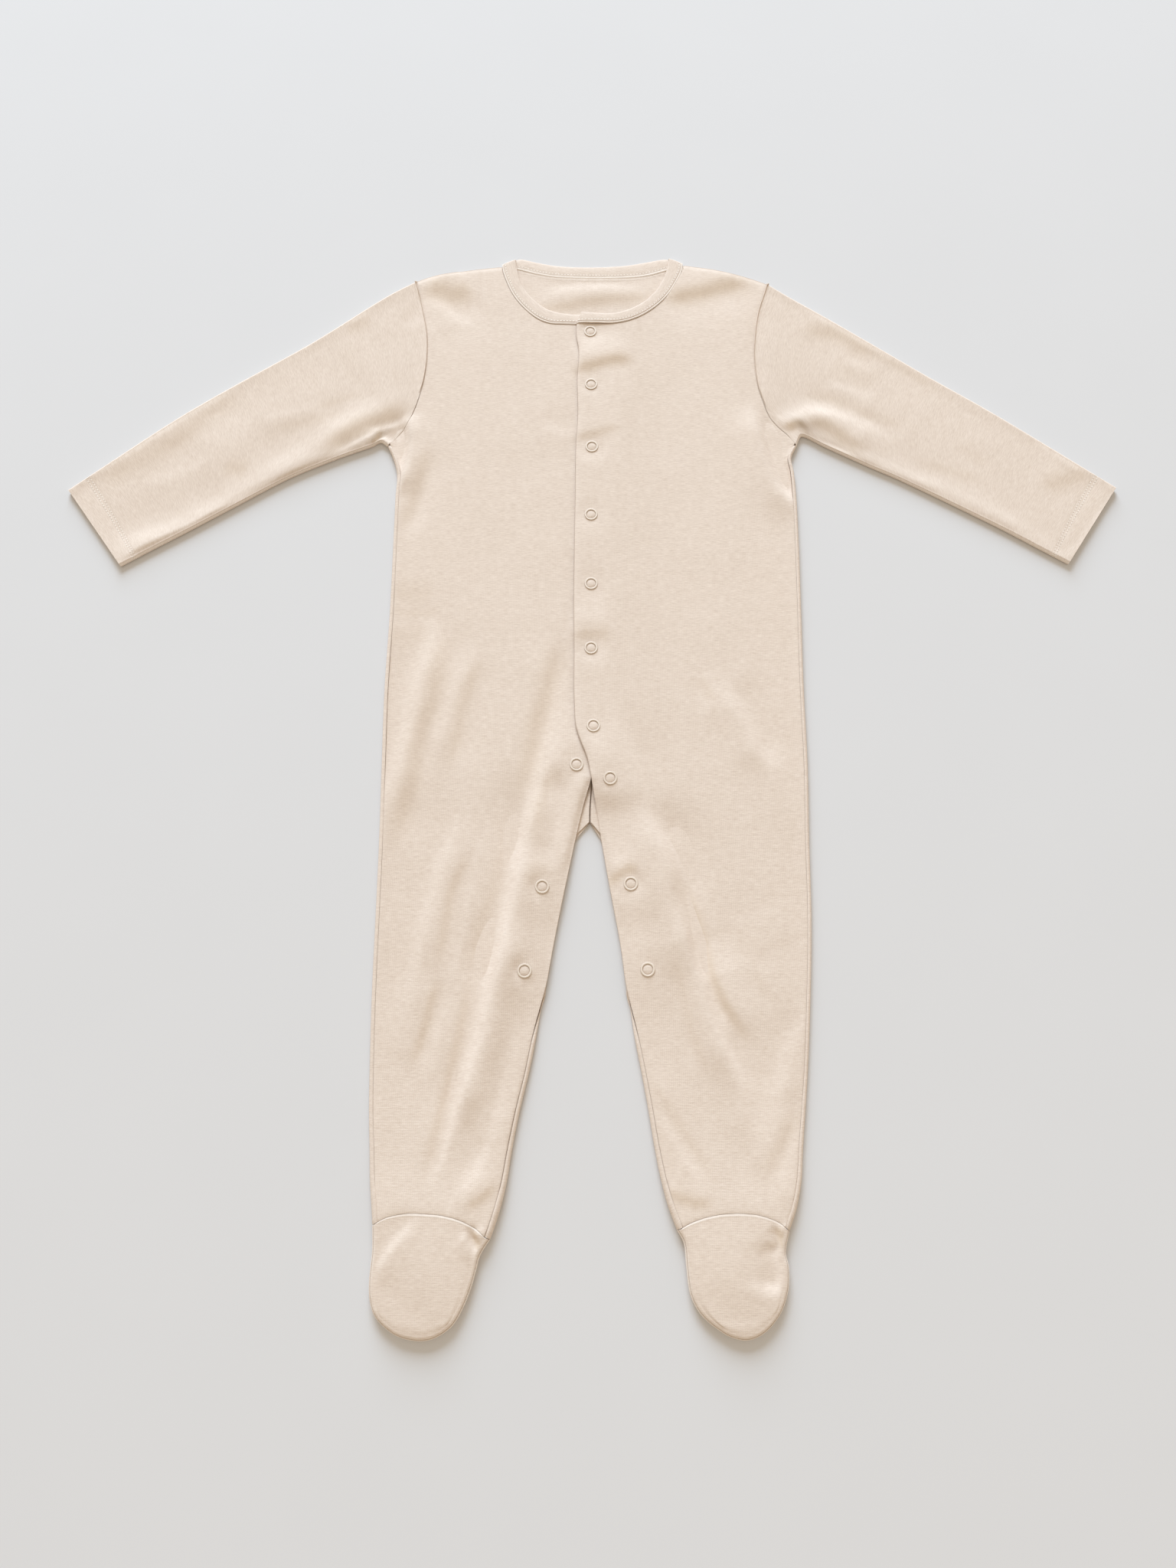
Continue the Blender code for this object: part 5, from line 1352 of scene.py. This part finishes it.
def makeSleeve(name, sign, solid):
    plan = sleevePlan
    steps = spread(plan["rows"], plan["length"])
    upper = at(stations(stations(edgeOf("overarm", sign), 15), plan["samples"]), steps)
    lower = at(stations(stations(edgeOf("underarm", sign), 70), plan["samples"]), steps)
    seam = sideways(armholeLine(sign), -sign * cloth["seamGap"] / 2)[::-1].copy()
    start = upper[1] - upper[0]
    seam[0] += start / np.linalg.norm(start) * plan["corner"]
    upper[0], lower[0] = seam[0], seam[-1]
    cuff = np.array([upper[-1], lower[-1]])
    radius = plan["edge"] / 2
    runs = runAlong((upper + lower) / 2)
    angles = math.pi / 2 - math.pi * np.arange(1, plan["rollSteps"]) / plan["rollSteps"]
    hemInset, hemDepth, hemReach = plan["hem"]
    inset, depth, reach = plan["underarmSeam"]
    # the lower edge's seam lies on the upper half of the roll, nowhere below it
    fromEdge = np.where(angles > 0, radius * (1 - np.cos(angles)), -9.0)
    rings, cut, marks, tones = [], [], [], []
    for k, along in enumerate(steps):
        place = partial(sleevePlace, seam, cuff, upper[k], lower[k], along)
        width = np.linalg.norm(upper[k] - lower[k])
        near = np.array(plan["near"]) / width
        middle = np.linspace(near[-1], 1 - near[-1], plan["columns"])
        shares = np.concatenate((near[:-1], middle, 1 - near[:-1][::-1]))
        flat = place(shares)
        x, y = flat.T
        rim = np.minimum(shares, 1 - shares) * width
        fromSeam, fromCuff = runs[k], runs[-1] - runs[k]
        crease, warm = creaseShape(x, y)
        soft = crease + plan["rumple"] * rumple(x, y, "sleeve")
        z = (plan["top"] + (plan["edge"] - plan["top"]) * bell(rim, cloth["edgeReach"])
             + foldHeight(x, y) * ease((rim - radius) / plan["foldClear"])
             + soft * ease((rim - radius) / plan["creaseClear"]))
        z = z - hemDepth * bell(fromCuff - hemInset, hemReach) - seamDip(fromSeam)
        under = np.clip(rumple(x, y, "sleeveBack"), 0, 1) * plan["underRise"]
        under = under * ease((rim - plan["underClear"]) / plan["foldClear"])
        # the rolled edges, with the underarm seam in a groove of the lower one
        groove = depth * bell(fromEdge - inset, reach)
        turned = []
        for end in (1, 0):
            t = np.abs(end - radius / width * (1 - np.cos(angles)))
            turned.append(np.column_stack((place(t), radius + (radius - groove * end) * np.sin(angles))))
        above, below = np.column_stack((flat, z)), np.column_stack((flat, under))
        ring = np.vstack((above, turned[0], below[::-1], turned[1][::-1], above[:1]))
        girth = runAlong(ring)
        mark, tone = np.zeros(len(ring)), np.zeros(len(ring))
        # painted warm shade in the darker creases and painted shade in the armpit hollows
        tone[:len(above)] = warm
        mark[:len(above)] = pocketMark(x, y)
        pale, where, paleReach = plan["rollEdge"]
        edgeMark = plan["rollMark"] * bell(fromEdge - inset, reach) + pale * bell(fromEdge - where, paleReach)
        mark[len(above):][:len(angles)] = edgeMark
        rings.append(ring)
        pale, where, paleReach = plan["seamEdge"]
        marks.append(mark + plan["seamAndShadeMark"] * seamAndShadeMark(fromSeam) + pale * bell(fromSeam - where, paleReach))
        tones.append(tone)
        cut.append(np.column_stack((girth - girth[len(above) // 2], np.full(len(ring), fromCuff))))
    bm = bmesh.new()
    addSheet(bm, np.array(rings), np.array(cut), np.array(marks), np.array(tones))
    bmesh.ops.remove_doubles(bm, verts=bm.verts, dist=0.002)
    bmesh.ops.recalc_face_normals(bm, faces=bm.faces)
    if max(bm.faces, key=lambda face: face.calc_center_median().z).normal.z < 0:
        bmesh.ops.reverse_faces(bm, faces=bm.faces)
    return giveWall(makeObject(name, bm, sleeveCloth, [solid]))


sleeveRight = makeSleeve("sleeveRight", -1, "sleeve_right")
sleeveLeft = makeSleeve("sleeveLeft", 1, "sleeve_left")
print("sleeves made")


def footRows():
    # from toe to ankle, closer together at the ankle seam
    close = 1 - np.array(footPlan["near"]) / footPlan["length"]
    return np.concatenate((np.linspace(0, close[0], footPlan["rows"] + 2 - len(close))[:-1], close))


def footEdges(sign):
    table = edgeOf("foot", sign)
    bounds = (0, footPlan["toeStart"], footPlan["toeEnd"], len(table) - 1)
    shares = (1 - footRows()[::-1], np.linspace(0, 1, footPlan["columns"] + 1), footRows())
    dense = stations(table, footPlan["samples"])
    picks = []
    for k, share in enumerate(shares):
        start, end = [int(np.argmin(gap(dense, table[bound]))) for bound in bounds[k:k + 2]]
        picks.append((start + (end - start) * share)[min(k, 1):])
    line = at(dense, np.concatenate(picks) / footPlan["samples"])
    outward = sideways(line, sign) - line
    run = runAlong(line)
    for inner, end in ((False, 0), (True, -1)):
        place, inward, up = heelEnd(sign, inner)
        share = ease(1 - np.abs(run - run[end]) / footPlan["heelBlend"])[:, None]
        outward = outward * (1 - share) - inward * share
        line = line + (place - up * footPlan["heelGap"] - line[end]) * share
    outward /= np.linalg.norm(outward, axis=1)[:, None]
    return line, outward


def rolledRim(bm, line, outward, points, angles, bulge, marks):
    # the foot's edge, from the flat middle round to the seam between sole and instep
    roll = footPlan["roll"]
    start = np.vstack((points[::-1, 0], points[0, 1:], points[1:, -1]))
    strip, cut = [start], [start[:, :2]]
    for angle, swell in zip(np.radians(angles[1:]), bulge[1:]):
        reach = roll + swell
        place = line - outward * (roll - reach * math.cos(angle))
        strip.append(np.column_stack((place, np.full(len(place), roll + reach * math.sin(angle)))))
        cut.append(start[:, :2] + outward * roll * abs(angle - math.radians(angles[0])))
    addSheet(bm, np.array(strip), np.array(cut), np.repeat(marks[:, None], len(line), 1))


def footSheet(bm, sign, top, floor):
    # an instep or a sole: its middle and its rolled edge
    rows, columns, roll = footPlan["rows"], footPlan["columns"], footPlan["roll"]
    line, outward = footEdges(sign)
    inset = line - outward * roll
    left, right = inset[:rows + 1][::-1].copy(), inset[rows + columns:].copy()
    toe = inset[rows:rows + columns + 1]
    left[-1], right[-1] = top[0], top[-1]
    plan = patch(toe, top, left, right, np.linspace(0, 1, columns + 1), footRows(), sampled=True)
    rim = np.minimum(np.minimum(gap(plan, plan[:, :1]), gap(plan, plan[:, -1:])), gap(plan, plan[:1]))
    x, y = plan[..., 0], plan[..., 1]
    if floor:
        z = footPlan["soleRise"] * np.clip(rumple(x, y, "sole"), 0, 1) * ease(rim / footPlan["soleClear"])
        marks = paintedCreaseShade = None
        angles = np.linspace(-90.0, footPlan["seamAngle"], footPlan["soleSteps"])
    else:
        # a raised welt along the ankle seam, pale as a painted highlight, with a dark seam line
        fromAnkle = gap(plan, plan[-1:])
        z = 2 * roll + (frontHeight(x, y) - 2 * roll) * ease(rim / footPlan["instepClear"])
        z = z + sum(height * bell(fromAnkle - where, reach) for height, where, reach in footPlan["welts"])
        tone, where, reach = footPlan["weltEdge"]
        marks = footPlan["weltMark"] * seamAndShadeMark(fromAnkle) + tone * bell(fromAnkle - where, reach)
        # painted warm shade in the darker creases
        paintedCreaseShade = creaseShape(x, y)[1]
        turn = math.degrees(cloth["seamGap"] / (roll - cloth["wall"] / 2))
        angles = np.linspace(90.0, footPlan["seamAngle"] + turn, footPlan["instepSteps"])
    points = np.dstack((x, y, z))
    addSheet(bm, points, plan, marks, paintedCreaseShade)
    swell, middle, reach = footPlan["soleSwell" if floor else "instepSwell"]
    rimMarks = np.zeros(len(angles))
    # pale rim rows are a painted highlight, the seam row a dark line
    rimMarks[-5:], rimMarks[-1] = footPlan["soleTones" if floor else "instepTones"]
    rolledRim(bm, line, outward, points, angles, swell * bell(angles - middle, reach), rimMarks)
    bmesh.ops.remove_doubles(bm, verts=bm.verts, dist=0.01)
    faceOut(bm, (0, 0, -1) if floor else (0, 0, 1))


def makeInstep(name, sign, solid):
    seam = sideways(ankleLine(sign), sign * cloth["seamGap"] / 2)
    bm = bmesh.new()
    footSheet(bm, sign, at(seam, np.linspace(0, 1, footPlan["columns"] + 1)), False)
    return giveWall(makeObject(name, bm, bodyCloth, [solid]))


def makeSole(name, sign, solid):
    line, outward = footEdges(sign)
    start, end = line[[0, -1]] - outward[[0, -1]] * footPlan["roll"]
    bm = bmesh.new()
    footSheet(bm, sign, between(start, end, footPlan["columns"] + 1), True)
    return giveWall(makeObject(name, bm, bodyCloth, [solid]))


instepRight = makeInstep("instepRight", -1, "instep_right")
instepLeft = makeInstep("instepLeft", 1, "instep_left")
soleRight = makeSole("soleRight", -1, "sole_right")
soleLeft = makeSole("soleLeft", 1, "sole_left")
print("feet made")


bandPlan = {
    "wall": 1.5,
    "top": 3.3,              # over the front neck
    "foldRise": 2.0,         # how far the fold stands above the shoulder point
    "crown": 0.35,
    "backStations": 60,
    "foldSteps": 10,
    "rounding": 0.17,
    # places across the band, in tenths
    "shares": (0.0, 0.25, 0.5, 0.8, 1.1, 1.3, 1.5, 1.7, 1.95, 2.2, 2.5, 3.0, 4.0, 5.5, 7.0, 8.2, 9.0,
               9.5, 9.75, 10.0),
    # from the seam: where, height, reach
    "welts": [(0.8, 0.16, 0.4), (1.55, -0.2, 0.28), (2.1, 0.06, 0.4)],
    # from the seam: where, how dark (pale below 0), reach; the first is a painted highlight on the welt
    "tones": [(0.75, -0.8, 0.45), (2.4, -0.3, 0.4)],
    "seamAndShadeMark": (0.12, 0.25),            # in front, and how much more behind
    "frontMark": (0.4, 1.6, 0.3),        # a line in front: how dark, where, reach
    "freeEdge": (-0.2, 0.4),             # height, reach
    "freeMark": 0.15,
}


def bandFront(sign):
    seam = sideways(neckSeam(sign)[::-1], sign * cloth["seamGap"] / 2)
    free = stations(pairs(outline["frontBand"], 2 if sign < 0 else 6), 9 * frontPlan["parts"])
    lines = []
    for line in (seam, free):
        lift = placketLift(line[:, 0], line[:, 1]) if sign > 0 else 0.0
        lines.append(np.column_stack((line, np.full(len(line), bandPlan["top"]) + lift)))
    return np.stack(lines, axis=1)


def bandFold(start):
    # the band turns over the shoulder and lies on the floor behind the neck
    radius = bandPlan["top"] / 2
    turned = []
    for angle in math.pi / 2 - math.pi * np.linspace(0, 1, bandPlan["foldSteps"] + 1):
        rise = bandPlan["foldRise"] - radius + radius * math.cos(angle)
        level = radius + radius * math.sin(angle)
        turned.append([(place[0], place[1] + rise, level) for place in start])
    return np.array(turned)


def makeNeckband():
    plan = bandPlan
    left, right = bandFront(-1), bandFront(1)
    seam = sideways(stations(pairs(outline["backBand"], 0), plan["backStations"]), cloth["seamGap"] / 2)
    free = stations(pairs(outline["backBand"], 2), plan["backStations"])
    back = np.stack([np.column_stack((line, np.zeros(len(line)))) for line in (seam, free)], axis=1)
    route = np.concatenate((left[:-1], bandFold(left[-1]), back[1:-1], bandFold(right[-1])[::-1],
                            right[::-1][1:]))
    share = np.array(plan["shares"]) / 10.0
    along = np.gradient(route.mean(axis=1), axis=0)
    across = route[:, 1] - route[:, 0]
    points = route[:, :1] + across[:, None] * share[None, :, None]
    normal = np.cross(along, across)
    normal /= np.linalg.norm(normal, axis=1)[:, None]
    normal *= np.sign(normal[0, 2])
    # crowned between its edges, with a fine welt beside the seam
    width = np.linalg.norm(across, axis=1)[:, None]
    inward = share[None] * width
    drop, dropReach = plan["freeEdge"]
    profile = plan["crown"] * 4 * share * (1 - share) + drop * bell(width - inward, dropReach)
    profile = profile + sum(height * bell(inward - where, reach) for where, height, reach in plan["welts"])
    points = points + normal[:, None] * (profile * normal[:, 2:])[..., None]
    # the seam line is darker behind the neck: painted shade where the band's edge meets the back
    behind = bell(np.arange(len(route)) - len(route) / 2, len(route) / 4)[:, None]
    front, more = plan["seamAndShadeMark"]
    dark, where, reach = plan["frontMark"]
    marks = (front + more * behind) * seamAndShadeMark(inward) + dark * bell(inward - where, reach) * (1 - behind)
    marks = marks + plan["freeMark"] * seamAndShadeMark(width - inward)
    marks = marks + sum(tone * bell(inward - where, reach) for where, tone, reach in plan["tones"])
    run = runAlong(route.mean(axis=1))
    bm = bmesh.new()
    addSheet(bm, points, np.dstack((np.broadcast_to(run[:, None], inward.shape), inward)), marks)
    faceOut(bm, (0, 0, 1))
    made = makeObject("neckTrim", bm, bandCloth, ["neckband"])
    return giveWall(made, plan["wall"], plan["rounding"])


neckband = makeNeckband()
print("neckband made")


snapShape = {
    "radius": 4.85,
    "hole": 3.45,
    "height": 0.52,          # of the ring above the cloth
    "round": 0.34,
    "crown": 0.06,
    "sunk": -0.5,
    "segments": 40,
    "domeRadius": 3.5,
    "domeHeight": 0.5,
}


def seatOf(sign, x, y):
    # plane of the cloth round a snap: middle height and direction
    angles = np.linspace(0, 2 * math.pi, 25)[:-1]
    px, py = x + snapPlan["seat"] * np.cos(angles), y + snapPlan["seat"] * np.sin(angles)
    z = frontHeight(px, py)
    if sign > 0:
        z = z + placketLift(px, py)
    design = np.column_stack((px - x, py - y, np.ones(len(px))))
    slopeX, slopeY, level = np.linalg.lstsq(design, z, rcond=None)[0]
    return level, Vector((-slopeX, -slopeY, 1.0)).normalized()


def spun(profile, rimShades):
    # a round piece from its section; rimShades are radius, how dark, reach of painted contact shade along its
    # rims
    bm = bmesh.new()
    corners = [bm.verts.new((radius, 0.0, z)) for radius, z in profile]
    edges = [bm.edges.new(pair) for pair in zip(corners, corners[1:])]
    bmesh.ops.spin(bm, geom=corners + edges, cent=(0, 0, 0), axis=(0, 0, 1), angle=2 * math.pi,
                   steps=snapShape["segments"], use_merge=True)
    bmesh.ops.remove_doubles(bm, verts=bm.verts, dist=0.001)
    bmesh.ops.recalc_face_normals(bm, faces=bm.faces)
    line = tonesOf(bm)[0]
    for vertex in bm.verts:
        radius = math.hypot(vertex.co.x, vertex.co.y)
        vertex[line] = sum(amount * bell(radius - place, reach) for place, amount, reach in rimShades)
    return bm


def seated(bm, x, y, level, normal):
    turn = Vector((0, 0, 1)).rotation_difference(normal).to_matrix()
    bmesh.ops.rotate(bm, cent=(0, 0, 0), matrix=turn, verts=bm.verts)
    bmesh.ops.translate(bm, vec=(x, y, level), verts=bm.verts)


def makeRing(number, x, y, level, normal):
    # an open prong ring, almost flat, with both its edges rounded
    shape = snapShape
    inner, outer, soft, sunk = shape["hole"], shape["radius"], shape["round"], shape["sunk"]
    shoulder = shape["height"] - soft
    turns = np.linspace(0, math.pi / 2, 5)
    profile = [(inner, sunk)]
    profile += [(inner + soft * (1 - math.cos(t)), shoulder + soft * math.sin(t)) for t in turns]
    profile.append(((inner + outer) / 2, shape["height"] + shape["crown"]))
    profile += [(outer - soft * (1 - math.cos(t)), shoulder + soft * math.sin(t)) for t in turns[::-1]]
    profile += [(outer, sunk), (inner, sunk)]
    # painted contact shade along the ring's inner and outer edges
    bm = spun(profile, [(inner, 0.6, 0.12), (outer, 0.7, 0.12)])
    seated(bm, x, y, level, normal)
    return makeObject("snapRing%02d" % number, bm, snapFinish, ["snap_%02d" % number])


def addDome(bm, x, y, level, normal):
    # the cloth that the ring holds bulges up inside it
    radius, height = snapShape["domeRadius"], snapShape["domeHeight"]
    profile = [(radius * t, height * (1 - t ** 2.6) - 0.05) for t in np.linspace(0, 1, 8)]
    # painted shade round the dome's edge, under the ring
    part = spun(profile + [(radius, -0.3)], [(radius, 0.5, 0.3)])
    layer = part.loops.layers.uv.verify()
    for face in part.faces:
        for corner in face.loops:
            corner[layer].uv = ((corner.vert.co.x + x) * mm, (corner.vert.co.y + y) * mm)
    seated(part, x, y, level, normal)
    whole = bpy.data.meshes.new("dome")
    part.to_mesh(whole)
    part.free()
    bm.from_mesh(whole)
    bpy.data.meshes.remove(whole)


domes = {-1: bmesh.new(), 1: bmesh.new()}
for sheet in domes.values():
    sheet.loops.layers.uv.verify()
    tonesOf(sheet)
for number, place in enumerate(snapPlan["places"], 1):
    x, y = place[:2]
    sign = 1 if number <= snapPlan["centre"] or x > 0 else -1
    level, normal = seatOf(sign, x, y)
    makeRing(number, x, y, level + 0.02, normal)
    addDome(domes[sign], x, y, level, normal)
domesRight = makeObject("snapClothRight", domes[-1], bodyCloth)
domesLeft = makeObject("snapClothLeft", domes[1], bodyCloth)
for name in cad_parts:
    if name.startswith("stud_"):
        for holder in bpy.data.objects[name].material_slots:
            holder.material = snapFinish
print("snaps made")


studio = {
    "floor": (0.735, 0.735, 0.735),
    "floorLevel": -0.25,
    "world": (1.139, 0.996, 0.829, 1),
    "worldStrength": 0.52,
    "key": (4.4, 855.0, (0.83, 0.985, 1.17)),      # size, power, colour
    "keyAway": 8.0,
    "keyHigh": 22.0,         # degrees above the floor
    "fill": (1.5, 2.0, (1.0, 0.8, 0.55)),          # warm, from beyond the feet
    "fillPlace": (0.2, -1.6, 1.3),
    "camera": (-0.00327, -0.25511, 0.73979),
    "tilt": 16.0,            # degrees from straight down
    "lens": 25.49,
}


def floorMaterial():
    made, tree, shader = newMaterial("paleFloor")
    place = node(tree, "ShaderNodeTexCoord", {}).outputs["Object"]
    grain = speckle(tree, place, (9.0, 9.0, 9.0), 6.0)
    deep, pale = [tuple(np.array(studio["floor"]) * share) for share in (0.985, 1.01)]
    plug(tree, shader, {"Base Color": mixColours(tree, grain, deep, pale), "Roughness": 0.9,
                        "Specular IOR Level": 0.1})
    return made


def addToScene(name, content, place=(0, 0, 0)):
    made = bpy.data.objects.new(name, content)
    made.location = place
    bpy.context.scene.collection.objects.link(made)
    return made


def areaLight(name, size, power, colour, place):
    content = bpy.data.lights.new(name, "AREA")
    content.shape = "SQUARE"
    content.size = size
    content.energy = power
    content.color = colour
    lamp = addToScene(name, content, place)
    lamp.rotation_euler = (-lamp.location).to_track_quat("-Z", "Y").to_euler()


def makeStudio():
    bm = bmesh.new()
    bmesh.ops.create_grid(bm, x_segments=2, y_segments=2, size=3.0)
    bmesh.ops.translate(bm, vec=(0, 0, studio["floorLevel"] * mm), verts=bm.verts)
    mesh = bpy.data.meshes.new("floor")
    bm.to_mesh(mesh)
    bm.free()
    mesh.materials.append(floorMaterial())
    addToScene("floor", mesh)

    world = bpy.data.worlds.new("studio")
    world.use_nodes = True
    plug(world.node_tree, world.node_tree.nodes["Background"],
         {"Color": studio["world"], "Strength": studio["worldStrength"]})
    bpy.context.scene.world = world

    high = math.radians(studio["keyHigh"])
    level = studio["keyAway"] * math.cos(high)
    keyPlace = (lightFrom[0] * level, lightFrom[1] * level, studio["keyAway"] * math.sin(high))
    areaLight("key", *studio["key"], keyPlace)
    areaLight("fill", *studio["fill"], studio["fillPlace"])

    lens = bpy.data.cameras.new("camera")
    lens.lens = studio["lens"]
    lens.sensor_width = 36.0
    lens.sensor_fit = "AUTO"
    lens.clip_start = 0.01
    camera = addToScene("camera", lens, studio["camera"])
    camera.rotation_euler = (math.radians(studio["tilt"]), 0.0, 0.0)
    bpy.context.scene.camera = camera
    bpy.context.scene.view_settings.view_transform = "Standard"


makeStudio()
print("studio made")
